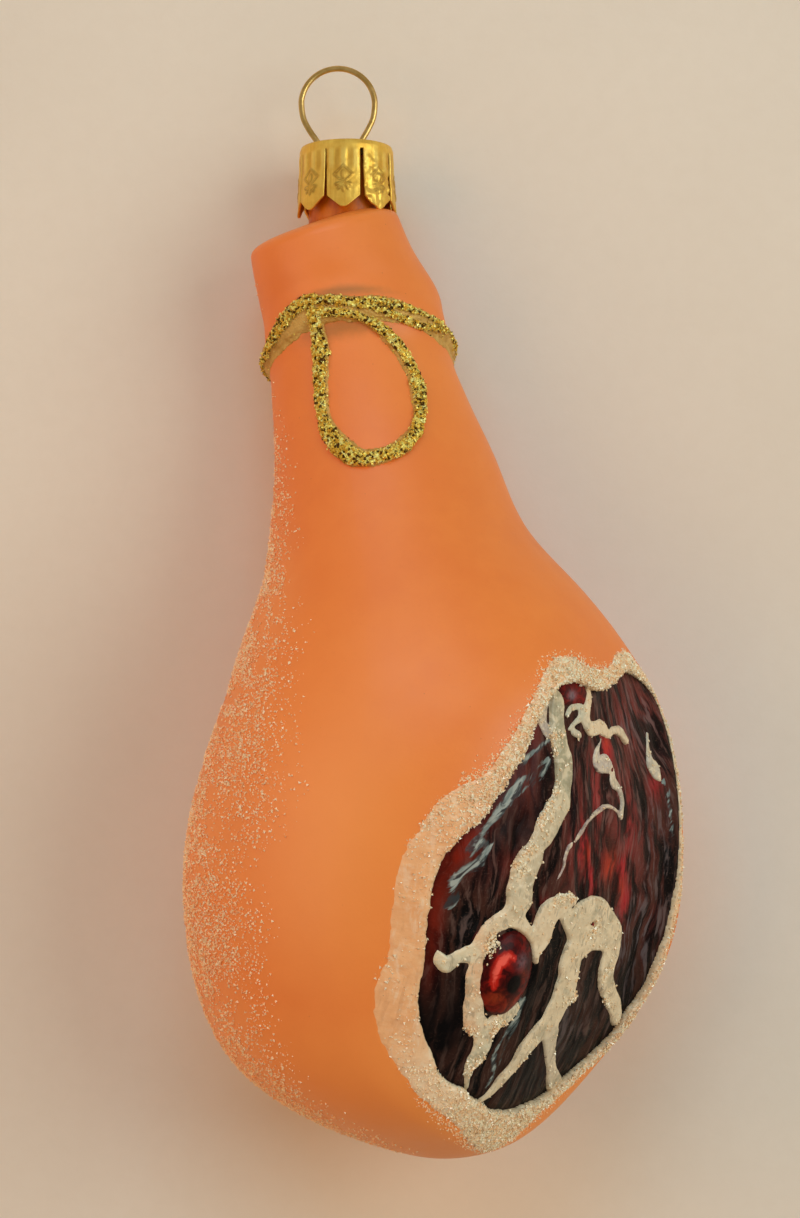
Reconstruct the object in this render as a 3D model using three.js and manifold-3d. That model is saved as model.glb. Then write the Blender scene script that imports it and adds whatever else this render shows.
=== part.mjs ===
// Blown-glass hanging ornament in the shape of a cured ham leg, lying on its back.
// Millimetres, +Z up. +Y runs from the bulb end to the hanger, +X is the side the cut face turns to.
import * as THREE from 'three';
import { mergeVertices, mergeGeometries } from 'three/addons/utils/BufferGeometryUtils.js';
import Module from 'manifold-3d';

const wasm = await Module();
wasm.setup();
const { Vector3, Matrix4 } = THREE;
const rad = THREE.MathUtils.degToRad;

// ---------------------------------------------------------------- driving dimensions
// Loft sections of the leg, bulb end first:
// [arc position, centre x, centre y, centre z, half width, half height, roll in degrees]
const SECTIONS = [
  [0.00, 5.62, -64.20, 21.5, 0.00, 0.0, 1.64],
  [8.39, 5.62, -62.42, 21.6, 8.20, 7.6, 1.64],
  [16.49, 4.10, -58.60, 21.7, 15.34, 14.2, 1.53],
  [25.29, 2.87, -52.79, 21.8, 21.95, 18.8, 1.22],
  [34.05, 3.57, -45.47, 21.9, 26.74, 21.3, 0.88],
  [42.48, 4.21, -37.38, 22.0, 29.14, 22.5, 0.81],
  [51.68, 4.50, -28.19, 22.1, 29.54, 22.6, 0.45],
  [61.10, 5.09, -18.84, 22.0, 28.37, 22.0, 0.47],
  [69.54, 5.22, -10.78, 21.3, 25.84, 20.6, 0.26],
  [77.52, 3.94, -3.65, 20.0, 22.28, 18.3, 0.00],
  [85.66, 2.19, 3.43, 18.0, 18.26, 15.6, 0.00],
  [92.32, -0.06, 9.38, 16.0, 15.26, 13.6, 0.00],
  [100.88, -1.73, 17.69, 13.4, 13.21, 11.6, 0.52],
  [108.43, -3.66, 25.09, 11.6, 11.71, 10.5, 1.18],
  [115.16, -5.17, 31.76, 10.7, 10.86, 9.8, 4.45],
  [121.70, -6.44, 38.30, 10.2, 10.68, 9.4, 3.23],
  [124.92, -7.89, 41.40, 10.0, 9.80, 9.2, 8.13],
  [128.12, -8.98, 44.55, 9.8, 9.26, 8.8, 13.95],
];
const RING_SEGMENTS = 44;
const BULB_RINGS = 22;
const SHANK_RINGS = 12;
const SHOULDER_AT = 92;          // arc position where the bulb meets the shank
const REST_Z = 0.0;              // the round back is flattened at this height

// shank end: rounded shoulder, slanted end face, then the neck pipe inside the cap
const NECK_R = 4.6;
const NECK_BORE_R = 3.9;
const NECK_BASE = [-6.42, 46.9, 9.4];
const NECK_DIR = new Vector3(-0.008, 0.99, -0.11).normalize();
const NECK_LENGTH = 7.2;
const BORE_DEPTH = 11.5;

// cut face: a plane turned to the front and the right, bulging as a smooth cubic surface
const CUT_TILT = 0.8746;
const CUT_AZIMUTH = -0.2444;
const CUT_POINT = [17.16, -33.28, 31.0];
const CUT_BULGE = [4.2693, -6.0413, -0.6221, -6.5547, 7.1269, -3.144, -2.2118, -0.2594];
const CUT_SPAN_U = 25;
const CUT_SPAN_V = 30;
const MEAT_RECESS = 0.7;

// meat inside the fat rim: distance from the middle of the face, one value every 15 degrees
const MEAT_MIDDLE = [1.5, 0.5];
const MEAT_RADII = [16.8, 17.9, 20.1, 24.8, 27.8, 25.0, 24.1, 24.5, 20.5, 19.0, 18.8, 20.3, 20.6, 21.1, 23.0, 24.8, 25.4, 25.5, 24.4, 22.4, 20.4, 19.3, 17.7, 16.4];
// the stump of the bone, a low dome standing in the meat
const BONE_AT = [-9.05, -7.0];
const BONE_R = [3.9, 4.8];
const BONE_RISE = 1.5;

// cord moulded in the glass round the shank, with a loop hanging from it
const BAND_ARC = [114.6, 0.3, 4.6];      // mean arc position, side-to-side lean, front-to-back lean
const BAND_HALF = [1.75, 1.0];           // half width along the shank, height above it
// the hanging loop as it is seen from above, its ends under the band
const LOOP = [[-9.9, 32.5], [-9.7, 28.4], [-9.4, 23.4], [-8.5, 20.1], [-6.5, 18.1], [-4.0, 17.7], [-1.3, 18.5], [0.7, 19.9],
  [1.9, 21.8], [2.2, 24.6], [1.6, 27.5], [0.1, 30.4], [-1.6, 31.9], [-4.0, 33.8], [-7.6, 34.9]];
const LOOP_CORD = [1.0, 0.8];            // half width, height above the shank

// crown cap
const CAP_R = 5.65;
const CAP_FLARE = 0.25;
const CAP_WALL = 0.35;
const CAP_HEIGHT = 8.3;
const CAP_DOME = 0.35;
const CAP_TABS = 8;
const CAP_SLOT = 0.5;
const CAP_SLOT_TOP = 1.1;
const CAP_POINT = 1.9;
const SEAT_GAP = 0.35;
const CAP_TOP = [-6.48, 55.55, 8.45];

// hanger wire
const WIRE_R = 0.375;
const RING_R = 4.45;
const RING_MIDDLE = [-0.98, 5.6];
// the drop-shaped ends of the ring: across the cap, height over its top
const LEFT_END = [[-2.9, -8.6], [-2.5, -5.2], [-2.45, -2.2], [-2.8, -0.3], [-3.45, 0.9], [-4.5, 2.5], [-5.17, 3.9]];
const RIGHT_END = [[3.25, 3.85], [2.6, 2.4], [1.85, 1.1], [1.0, -0.3], [0.7, -2.2], [1.9, -5.2], [2.3, -8.6]];
const HOLE_X = [-2.88, 1.09];
const HOLE_R = 0.75;

// ---------------------------------------------------------------- helpers
function naturalSpline(t, y) {
  const n = t.length;
  const h = t.slice(1).map((v, i) => v - t[i]);
  const a = new Array(n).fill(0), b = new Array(n).fill(1), c = new Array(n).fill(0), r = new Array(n).fill(0);
  for (let i = 1; i < n - 1; i++) {
    a[i] = h[i - 1]; b[i] = 2 * (h[i - 1] + h[i]); c[i] = h[i];
    r[i] = 6 * ((y[i + 1] - y[i]) / h[i] - (y[i] - y[i - 1]) / h[i - 1]);
  }
  for (let i = 1; i < n; i++) { const w = a[i] / b[i - 1]; b[i] -= w * c[i - 1]; r[i] -= w * r[i - 1]; }
  const m = new Array(n).fill(0);
  m[n - 1] = r[n - 1] / b[n - 1];
  for (let i = n - 2; i >= 0; i--) m[i] = (r[i] - c[i] * m[i + 1]) / b[i];
  return (x) => {
    let i = 0;
    while (i < n - 2 && x > t[i + 1]) i++;
    const d = x - t[i], k = h[i];
    return y[i] + d * ((y[i + 1] - y[i]) / k - k * (2 * m[i] + m[i + 1]) / 6 + d * (m[i] / 2 + d * (m[i + 1] - m[i]) / (6 * k)));
  };
}

const arc = SECTIONS.map((s) => s[0]);
// each quantity is mirrored about the bulb's pole, so that the end is smooth
function along(column, sign) {
  const v = SECTIONS.map((s) => s[column]);
  return naturalSpline([...arc.slice(1).reverse().map((x) => -x), ...arc], [...v.slice(1).reverse().map((x) => sign * x), ...v]);
}
const fx = along(1, 1), fy = along(2, 1), fz = along(3, 1), fa = along(4, -1), fb = along(5, -1), fr = along(6, 1);

function skin(u, angle, lift = 0) {
  const a = fa(u) + lift, b = fb(u) + lift, roll = rad(fr(u));
  const e = a * Math.cos(angle);
  return new Vector3(fx(u) + e * Math.cos(roll), fy(u) + e * Math.sin(roll), fz(u) + b * Math.sin(angle));
}

// closed body from rings of points, with one point at each end
function loft(first, rings, last) {
  const n = rings[0].length;
  const points = [first, ...rings.flat(), last];
  const index = [];
  const at = (i, j) => 1 + i * n + (j % n);
  for (let j = 0; j < n; j++) index.push(0, at(0, j), at(0, j + 1));
  for (let i = 0; i < rings.length - 1; i++)
    for (let j = 0; j < n; j++) {
      index.push(at(i, j), at(i + 1, j + 1), at(i, j + 1));
      index.push(at(i, j), at(i + 1, j), at(i + 1, j + 1));
    }
  for (let j = 0; j < n; j++) index.push(points.length - 1, at(rings.length - 1, j + 1), at(rings.length - 1, j));
  const g = new THREE.BufferGeometry();
  g.setAttribute('position', new THREE.Float32BufferAttribute(points.flatMap((p) => p.toArray()), 3));
  g.setIndex(index);
  return g;
}

function solid(geometry) {
  let g = geometry.clone();
  g.deleteAttribute('normal');
  g.deleteAttribute('uv');
  g = mergeVertices(g, 1e-4);
  const mesh = new wasm.Mesh({
    numProp: 3,
    vertProperties: new Float32Array(g.attributes.position.array),
    triVerts: new Uint32Array(g.index.array),
  });
  mesh.merge();
  return new wasm.Manifold(mesh);
}

function geometryOf(manifold) {
  const m = manifold.getMesh();
  const g = new THREE.BufferGeometry();
  const stride = m.numProp;
  const p = new Float32Array((m.vertProperties.length / stride) * 3);
  for (let i = 0; i < p.length / 3; i++) for (let k = 0; k < 3; k++) p[i * 3 + k] = m.vertProperties[i * stride + k];
  g.setAttribute('position', new THREE.BufferAttribute(p, 3));
  g.setIndex(new THREE.BufferAttribute(new Uint32Array(m.triVerts), 1));
  g.computeVertexNormals();
  return g;
}

// tube of elliptical section along a curve, from an extruded outline
function tube(curve, steps, halfWidth, halfHeight, sides) {
  const outline = new THREE.Shape();
  outline.absellipse(0, 0, halfHeight, halfWidth, 0, Math.PI * 2, false, 0);
  const ring = outline.getSpacedPoints(sides).slice(0, sides);
  return new THREE.ExtrudeGeometry(new THREE.Shape(ring), { steps, extrudePath: curve, bevelEnabled: false });
}

// closed swept ring whose section is turned to lie on the surface under it
function sweptLoop(centre, outward, count, halfWidth, height, sink, sides) {
  const rings = [];
  for (let i = 0; i < count; i++) {
    const p = centre(i / count), q = centre((i + 1) / count), o = centre((i - 1 + count) / count);
    const t = q.clone().sub(o).normalize();
    const up = outward(i / count).clone();
    up.addScaledVector(t, -up.dot(t)).normalize();
    const side = new Vector3().crossVectors(t, up);
    rings.push([...Array(sides).keys()].map((k) => {
      const w = (k / sides) * Math.PI * 2, s = Math.sin(w);
      return p.clone().addScaledVector(side, halfWidth * Math.cos(w)).addScaledVector(up, s > 0 ? height * s : sink * s);
    }));
  }
  const points = rings.flat(), index = [];
  for (let i = 0; i < count; i++)
    for (let k = 0; k < sides; k++) {
      const a = i * sides + k, b = i * sides + ((k + 1) % sides), c = ((i + 1) % count) * sides + k, d = ((i + 1) % count) * sides + ((k + 1) % sides);
      index.push(a, c, b, b, c, d);
    }
  const g = new THREE.BufferGeometry();
  g.setAttribute('position', new THREE.Float32BufferAttribute(points.flatMap((v) => v.toArray()), 3));
  g.setIndex(index);
  return g;
}

// ---------------------------------------------------------------- leg
const rings = [];
for (let i = 1; i <= BULB_RINGS; i++) {
  const k = i / BULB_RINGS;
  const u = SHOULDER_AT * (0.18 * k * k + 0.82 * k);
  rings.push([...Array(RING_SEGMENTS).keys()].map((j) => skin(u, (j / RING_SEGMENTS) * Math.PI * 2)));
}
const shankEnd = arc[arc.length - 1];
for (let i = 1; i <= SHANK_RINGS; i++) {
  const u = SHOULDER_AT + ((shankEnd - SHOULDER_AT) * i) / SHANK_RINGS;
  rings.push([...Array(RING_SEGMENTS).keys()].map((j) => skin(u, (j / RING_SEGMENTS) * Math.PI * 2)));
}
// shoulder: the last section is drawn in round the corner, then meets the neck with a fillet
const neckBase = new Vector3(...NECK_BASE);
const neckX = new Vector3(1, 0, 0).addScaledVector(NECK_DIR, -NECK_DIR.x).normalize();
const neckZ = new Vector3().crossVectors(neckX, NECK_DIR).normalize();
const onNeck = (angle, r, h) => neckBase.clone().addScaledVector(neckX, r * Math.cos(angle)).addScaledVector(neckZ, r * Math.sin(angle)).addScaledVector(NECK_DIR, h);
const endNormal = new Vector3(-Math.sin(rad(16)), Math.cos(rad(16)), -0.12).normalize();
for (const [draw, rise] of [[0.02, 0.35], [0.08, 0.8], [0.2, 1.15], [0.5, 1.4], [0.84, 1.5]]) {
  rings.push([...Array(RING_SEGMENTS).keys()].map((j) => {
    const w = (j / RING_SEGMENTS) * Math.PI * 2;
    const edge = skin(shankEnd, w).addScaledVector(endNormal, rise);
    const foot = onNeck(w, NECK_R, 0);
    foot.addScaledVector(endNormal, skin(shankEnd, w).addScaledVector(endNormal, rise).sub(foot).dot(endNormal));
    return edge.lerp(foot, draw);
  }));
}
rings.push([...Array(RING_SEGMENTS).keys()].map((j) => onNeck((j / RING_SEGMENTS) * Math.PI * 2, NECK_R, 1.2)));
rings.push([...Array(RING_SEGMENTS).keys()].map((j) => onNeck((j / RING_SEGMENTS) * Math.PI * 2, NECK_R, NECK_LENGTH - 0.3)));
rings.push([...Array(RING_SEGMENTS).keys()].map((j) => onNeck((j / RING_SEGMENTS) * Math.PI * 2, NECK_R - 0.25, NECK_LENGTH)));
const pole = new Vector3(fx(0), fy(0), fz(0));
let leg = solid(loft(pole, rings, onNeck(0, 0, NECK_LENGTH)));

// moulded cord band and its hanging loop, joined to the leg
const bandPoint = (k, lift = 0) => {
  const w = k * Math.PI * 2;
  return skin(BAND_ARC[0] + BAND_ARC[1] * Math.cos(w) + BAND_ARC[2] * Math.sin(w), w, lift);
};
const band = sweptLoop((k) => bandPoint(k), (k) => bandPoint(k, 1).sub(bandPoint(k)), 36, BAND_HALF[0], BAND_HALF[1], 1.2, 8);
leg = leg.add(solid(band));

// height of the upper skin over a point of the table, by bisection along the loft
function skinOver(x, y) {
  let lo = 60, hi = shankEnd;
  const at = (u) => { const roll = rad(fr(u)); return fy(u) + (x - fx(u)) * Math.tan(roll); };
  for (let i = 0; i < 40; i++) { const m = (lo + hi) / 2; if (at(m) < y) lo = m; else hi = m; }
  const u = (lo + hi) / 2, roll = rad(fr(u));
  const c = THREE.MathUtils.clamp((x - fx(u)) / (fa(u) * Math.cos(roll)), -1, 1);
  return skin(u, Math.acos(c));
}
const skinNormal = (x, y) => {
  const d = 0.2;
  const dx = skinOver(x + d, y).sub(skinOver(x - d, y)), dy = skinOver(x, y + d).sub(skinOver(x, y - d));
  return new Vector3().crossVectors(dx, dy).normalize();
};
const loopCurve = new THREE.CatmullRomCurve3(LOOP.map(([x, y]) => new Vector3(x, y, 0)), true);
const loopAt = (k) => { const p = loopCurve.getPointAt((k + 1) % 1); return [p.x, p.y]; };
const loop = sweptLoop((k) => skinOver(...loopAt(k)), (k) => skinNormal(...loopAt(k)), 36, LOOP_CORD[0], LOOP_CORD[1], 1.0, 6);
leg = leg.add(solid(loop));

// cut face
const cutNormal = new Vector3(Math.sin(CUT_TILT) * Math.cos(CUT_AZIMUTH), Math.sin(CUT_TILT) * Math.sin(CUT_AZIMUTH), Math.cos(CUT_TILT));
const cutV = new Vector3(0, 1, 0).addScaledVector(cutNormal, -cutNormal.y).normalize();
const cutU = new Vector3().crossVectors(cutV, cutNormal);
const cutFrame = new Matrix4().makeBasis(cutU, cutV, cutNormal).setPosition(...CUT_POINT);
function bulge(x, y) {
  const u = x / CUT_SPAN_U, v = y / CUT_SPAN_V, c = CUT_BULGE;
  return c[0] + c[1] * u * u + c[2] * u * v + c[3] * v * v + c[4] * u ** 3 + c[5] * u * u * v + c[6] * u * v * v + c[7] * v ** 3;
}
function underCut(halfU, halfV, depth, drop, nu, nv) {
  const g = new THREE.BoxGeometry(halfU * 2, halfV * 2, depth, nu, nv, 1);
  const p = g.attributes.position;
  for (let i = 0; i < p.count; i++)
    p.setZ(i, p.getZ(i) > 0 ? bulge(p.getX(i), p.getY(i)) - drop : -depth);
  return solid(g.applyMatrix4(cutFrame));
}
leg = leg.intersect(underCut(44, 90, 90, 0, 20, 36));

// meat sunk inside the fat rim
const outline = new THREE.CatmullRomCurve3(MEAT_RADII.map((r, i) => {
  const w = rad((360 / MEAT_RADII.length) * i);
  return new Vector3(MEAT_MIDDLE[0] + r * Math.cos(w), MEAT_MIDDLE[1] + r * Math.sin(w), 0);
}), true, 'catmullrom', 0.5);
const meatShape = new THREE.Shape(outline.getSpacedPoints(52).slice(0, 52).map((p) => new THREE.Vector2(p.x, p.y)));
const plug = new THREE.ExtrudeGeometry(meatShape, { depth: 30, bevelEnabled: false }).translate(0, 0, -15).applyMatrix4(cutFrame);
leg = leg.subtract(solid(plug).subtract(underCut(34, 40, 30, MEAT_RECESS, 18, 20)));

// bone
const bone = new THREE.SphereGeometry(1, 20, 12).scale(BONE_R[0], BONE_R[1], BONE_RISE + MEAT_RECESS)
  .translate(BONE_AT[0], BONE_AT[1], bulge(...BONE_AT) - MEAT_RECESS * 0.6).applyMatrix4(cutFrame);
leg = leg.add(solid(bone));

// flat underside and the neck's bore
const table = new THREE.BoxGeometry(200, 300, 20).translate(0, 0, REST_Z - 10);
leg = leg.subtract(solid(table));
const toNeck = new Matrix4().makeBasis(neckX, NECK_DIR, neckZ.clone().negate().multiplyScalar(-1)).setPosition(neckBase);
const bore = new THREE.CylinderGeometry(NECK_BORE_R, NECK_BORE_R, BORE_DEPTH + 2, 28).translate(0, NECK_LENGTH + 2 - (BORE_DEPTH + 2) / 2, 0);
const neckQuat = new THREE.Quaternion().setFromUnitVectors(new Vector3(0, 1, 0), NECK_DIR);
leg = leg.subtract(solid(bore.applyQuaternion(neckQuat).translate(...NECK_BASE)));

// seat that keeps the cap's tabs clear of the slanted shoulder
const seat = new THREE.LatheGeometry([
  [NECK_R + 0.02, 0], [CAP_R + CAP_FLARE + SEAT_GAP, 0], [CAP_R + CAP_FLARE + SEAT_GAP, -CAP_HEIGHT - SEAT_GAP], [NECK_R + 0.02, -CAP_HEIGHT - SEAT_GAP], [NECK_R + 0.02, 0],
].reverse().map(([r, h]) => new THREE.Vector2(r, h)), 28);
leg = leg.subtract(solid(seat.applyQuaternion(neckQuat).translate(...CAP_TOP)));

// ---------------------------------------------------------------- crown cap, built upright on its own axis
const capProfile = [
  [0, 0], [0, CAP_DOME], [CAP_R * 0.6, CAP_DOME * 0.7], [CAP_R - 0.6, 0.12], [CAP_R - 0.15, -0.1], [CAP_R, -0.5],
  [CAP_R + CAP_FLARE * 0.3, -CAP_HEIGHT * 0.55], [CAP_R + CAP_FLARE, -CAP_HEIGHT],
  [CAP_R + CAP_FLARE - CAP_WALL, -CAP_HEIGHT], [CAP_R - CAP_WALL, -0.75], [CAP_R - CAP_WALL - 0.3, -CAP_WALL],
  [0, 0],
];
capProfile[0] = [0, CAP_DOME - CAP_WALL - 0.05];
capProfile[capProfile.length - 1] = [0, CAP_DOME - CAP_WALL - 0.05];
let cap = solid(new THREE.LatheGeometry(capProfile.slice().reverse().map(([r, h]) => new THREE.Vector2(r, h)), 48));
const tabHalf = (CAP_R + CAP_FLARE) * Math.tan(Math.PI / CAP_TABS);
const notch = new THREE.Shape([
  new THREE.Vector2(-CAP_SLOT / 2, -CAP_SLOT_TOP), new THREE.Vector2(-CAP_SLOT / 2, -(CAP_HEIGHT - CAP_POINT)),
  new THREE.Vector2(-tabHalf, -CAP_HEIGHT), new THREE.Vector2(-tabHalf, -CAP_HEIGHT - 1),
  new THREE.Vector2(tabHalf, -CAP_HEIGHT - 1), new THREE.Vector2(tabHalf, -CAP_HEIGHT),
  new THREE.Vector2(CAP_SLOT / 2, -(CAP_HEIGHT - CAP_POINT)), new THREE.Vector2(CAP_SLOT / 2, -CAP_SLOT_TOP),
]);
for (let i = 0; i < CAP_TABS; i++) {
  const cutter = new THREE.ExtrudeGeometry(notch, { depth: 4, bevelEnabled: false }).translate(0, 0, CAP_R - 2.2).rotateY(((i + 0.5) / CAP_TABS) * Math.PI * 2 + rad(4));
  cap = cap.subtract(solid(cutter));
}
for (const x of HOLE_X) cap = cap.subtract(solid(new THREE.CylinderGeometry(HOLE_R, HOLE_R, 4, 12).translate(x, 0, 0)));

// ---------------------------------------------------------------- hanger wire, in the cap's own axes
const wirePath = [...LEFT_END];
for (let degrees = 176; degrees >= 0; degrees -= 11) {
  wirePath.push([RING_MIDDLE[0] + RING_R * Math.cos(rad(degrees)), RING_MIDDLE[1] + RING_R * Math.sin(rad(degrees))]);
}
wirePath.push(...RIGHT_END);
const wireCurve = new THREE.CatmullRomCurve3(wirePath.map(([x, y]) => new Vector3(x, y, 0)), false, 'centripetal');
const wire = tube(wireCurve, 64, WIRE_R, WIRE_R, 8);

// ---------------------------------------------------------------- scene graph
const finish = (name, geometry, colour, roughness, metalness) => {
  const mesh = new THREE.Mesh(geometry, new THREE.MeshStandardMaterial({ color: new THREE.Color().setStyle(colour), roughness, metalness }));
  mesh.name = name;
  return mesh;
};
const group = new THREE.Group();
const ornament = new THREE.Group();
const glass = finish('glass_leg', geometryOf(leg), '#dd7f42', 0.5, 0);
ornament.add(glass);
const hanger = new THREE.Group();
hanger.position.set(...CAP_TOP);
hanger.quaternion.copy(neckQuat);
hanger.add(finish('crown_cap', geometryOf(cap), '#c9a04a', 0.3, 1));
hanger.add(finish('hanger_wire', wire, '#b08a4a', 0.3, 1));
ornament.add(hanger);
ornament.updateMatrixWorld(true);
const box = new THREE.Box3().setFromObject(ornament);
const middle = box.getCenter(new Vector3());
ornament.position.set(-middle.x, -middle.y, -box.min.z);
group.add(ornament);
group.updateMatrixWorld(true);

export default group;
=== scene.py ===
import math
import bpy
import numpy as np
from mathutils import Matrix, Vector
from mathutils.bvhtree import BVHTree


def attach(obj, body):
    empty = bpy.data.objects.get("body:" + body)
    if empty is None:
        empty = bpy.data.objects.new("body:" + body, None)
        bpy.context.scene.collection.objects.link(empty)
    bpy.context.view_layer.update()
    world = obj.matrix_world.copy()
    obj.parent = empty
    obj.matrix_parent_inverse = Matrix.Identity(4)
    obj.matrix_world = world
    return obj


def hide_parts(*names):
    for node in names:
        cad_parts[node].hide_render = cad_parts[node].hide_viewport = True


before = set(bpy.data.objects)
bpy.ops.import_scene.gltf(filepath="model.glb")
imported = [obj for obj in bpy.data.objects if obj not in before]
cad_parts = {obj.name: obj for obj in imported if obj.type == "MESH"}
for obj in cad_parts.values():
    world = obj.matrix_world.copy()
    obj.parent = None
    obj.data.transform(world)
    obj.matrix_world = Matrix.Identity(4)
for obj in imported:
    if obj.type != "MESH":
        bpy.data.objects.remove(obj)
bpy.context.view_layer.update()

# ================================================================ form, in millimetres
# The frame's own origin is SHIFT away from the origin in which the sections are given.
SHIFT = np.array([-4.226046562, -0.821754131, 0.0])
SECTIONS = np.array([
    (0.00, 5.62, -64.20, 21.5, 0.00, 0.0, 1.64),
    (8.39, 5.62, -62.42, 21.6, 8.20, 7.6, 1.64),
    (16.49, 4.10, -58.60, 21.7, 15.34, 14.2, 1.53),
    (25.29, 2.87, -52.79, 21.8, 21.95, 18.8, 1.22),
    (34.05, 3.57, -45.47, 21.9, 26.74, 21.3, 0.88),
    (42.48, 4.21, -37.38, 22.0, 29.14, 22.5, 0.81),
    (51.68, 4.50, -28.19, 22.1, 29.54, 22.6, 0.45),
    (61.10, 5.09, -18.84, 22.0, 28.37, 22.0, 0.47),
    (69.54, 5.22, -10.78, 21.3, 25.84, 20.6, 0.26),
    (77.52, 3.94, -3.65, 20.0, 22.28, 18.3, 0.00),
    (85.66, 2.19, 3.43, 18.0, 18.26, 15.6, 0.00),
    (92.32, -0.06, 9.38, 16.0, 15.26, 13.6, 0.00),
    (100.88, -1.73, 17.69, 13.4, 13.21, 11.6, 0.52),
    (108.43, -3.66, 25.09, 11.6, 11.71, 10.5, 1.18),
    (115.16, -5.17, 31.76, 10.7, 10.86, 9.8, 4.45),
    (121.70, -6.44, 38.30, 10.2, 10.68, 9.4, 3.23),
    (124.92, -7.89, 41.40, 10.0, 9.80, 9.2, 8.13),
    (128.12, -8.98, 44.55, 9.8, 9.26, 8.8, 13.95),
])
RING_AT = SECTIONS[:, 0]
SHANK_END = RING_AT[-1]
NECK_BASE = np.array([-6.42, 46.9, 9.4])
NECK_DIR = np.array([-0.008, 0.99, -0.11]); NECK_DIR /= np.linalg.norm(NECK_DIR)
NECK_R = 4.6
CUT_TILT, CUT_AZIMUTH = 0.8746, -0.2444
CUT_POINT = np.array([17.16, -33.28, 31.0])
CUT_BULGE = (4.2693, -6.0413, -0.6221, -6.5547, 7.1269, -3.144, -2.2118, -0.2594)
BAND_ARC = (114.6, 0.3, 4.6)
LOOP = np.array([(-9.9, 32.5), (-9.7, 28.4), (-9.4, 23.4), (-8.5, 20.1), (-6.5, 18.1), (-4.0, 17.7), (-1.3, 18.5), (0.7, 19.9),
                 (1.9, 21.8), (2.2, 24.6), (1.6, 27.5), (0.1, 30.4), (-1.6, 31.9), (-4.0, 33.8), (-7.6, 34.9)])


def unit(v):
    v = np.asarray(v, float)
    return v / np.maximum(np.linalg.norm(v, axis=-1, keepdims=True), 1e-12)


def natural_spline(t, y):
    t, y = np.asarray(t, float), np.asarray(y, float)
    n, h = len(t), np.diff(t)
    A, r = np.zeros((n, n)), np.zeros(n)
    A[0, 0] = A[-1, -1] = 1
    for i in range(1, n - 1):
        A[i, i - 1], A[i, i], A[i, i + 1] = h[i - 1], 2 * (h[i - 1] + h[i]), h[i]
        r[i] = 6 * ((y[i + 1] - y[i]) / h[i] - (y[i] - y[i - 1]) / h[i - 1])
    m = np.linalg.solve(A, r)

    def f(x):
        x = np.asarray(x, float)
        i = np.clip(np.searchsorted(t, x, side="right") - 1, 0, n - 2)
        d, k = x - t[i], h[i]
        return y[i] + d * ((y[i + 1] - y[i]) / k - k * (2 * m[i] + m[i + 1]) / 6 + d * (m[i] / 2 + d * (m[i + 1] - m[i]) / (6 * k)))

    return f


def along(column, sign):
    v = SECTIONS[:, column]
    return natural_spline(np.concatenate([-RING_AT[:0:-1], RING_AT]), np.concatenate([sign * v[:0:-1], v]))


fx, fy, fz, fa, fb, fr = along(1, 1), along(2, 1), along(3, 1), along(4, -1), along(5, -1), along(6, 1)


def skin(u, w, lift=0.0):
    """Point of the plain leg at arc position u and angle w round it."""
    roll = np.radians(fr(u))
    e = (fa(u) + lift) * np.cos(w)
    return np.stack([fx(u) + e * np.cos(roll), fy(u) + e * np.sin(roll), fz(u) + (fb(u) + lift) * np.sin(w)], -1)


def spine(u):
    return np.stack([fx(u), fy(u), fz(u)], -1)


CUT_N = np.array([math.sin(CUT_TILT) * math.cos(CUT_AZIMUTH), math.sin(CUT_TILT) * math.sin(CUT_AZIMUTH), math.cos(CUT_TILT)])
CUT_V = unit(np.array([0.0, 1.0, 0.0]) - CUT_N * CUT_N[1])
CUT_U = np.cross(CUT_V, CUT_N)


def bulge(x, y):
    u, v, c = x / 25.0, y / 30.0, CUT_BULGE
    return c[0] + c[1] * u * u + c[2] * u * v + c[3] * v * v + c[4] * u ** 3 + c[5] * u * u * v + c[6] * u * v * v + c[7] * v ** 3


def above_cut(P):
    w = P - CUT_POINT
    return w @ CUT_N - bulge(w @ CUT_U, w @ CUT_V)


def smin(a, b, k):
    h = np.maximum(k - np.abs(a - b), 0.0) / k
    return np.minimum(a, b) - h * h * k * 0.25


def cut_leg(P, C, blend):
    """Draws points of the plain leg in along the line to their ring's middle until they meet the cut face, with a rounded edge."""
    d = P - C
    L = np.linalg.norm(d, axis=-1)
    dn = d / np.maximum(L, 1e-9)[..., None]
    lo, hi = np.zeros(L.shape), np.full(L.shape, 60.0)
    for _ in range(26):
        mid = (lo + hi) / 2
        s = above_cut(C + dn * mid[..., None]) > 0
        hi, lo = np.where(s, mid, hi), np.where(s, lo, mid)
    reach = np.minimum(L, smin(L, lo, blend))
    reach = np.where(L < 1e-6, L, reach)
    return C + dn * reach[..., None]


def leg_points(us, nw, blend=1.8):
    """Rings of the lacquered leg: the plain pear with the cut face and the flat it rests on."""
    w = np.arange(nw) * (2 * math.pi / nw)
    U, W = np.meshgrid(us, w, indexing="ij")
    P = cut_leg(skin(U, W), spine(U), blend)
    k = 0.5
    h = np.maximum(k - np.abs(P[..., 2]), 0.0) / k
    P[..., 2] = np.maximum(P[..., 2], 0.0) + h * h * k * 0.25 * (P[..., 2] > 0.02)
    return P


def ring_faces(n, m):
    i, j = np.meshgrid(np.arange(n - 1), np.arange(m), indexing="ij")
    a = i * m + j
    b = i * m + (j + 1) % m
    return np.stack([a, a + m, b + m, b], -1).reshape(-1, 4)


# ================================================================ small tools
rng = np.random.default_rng(20)


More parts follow.
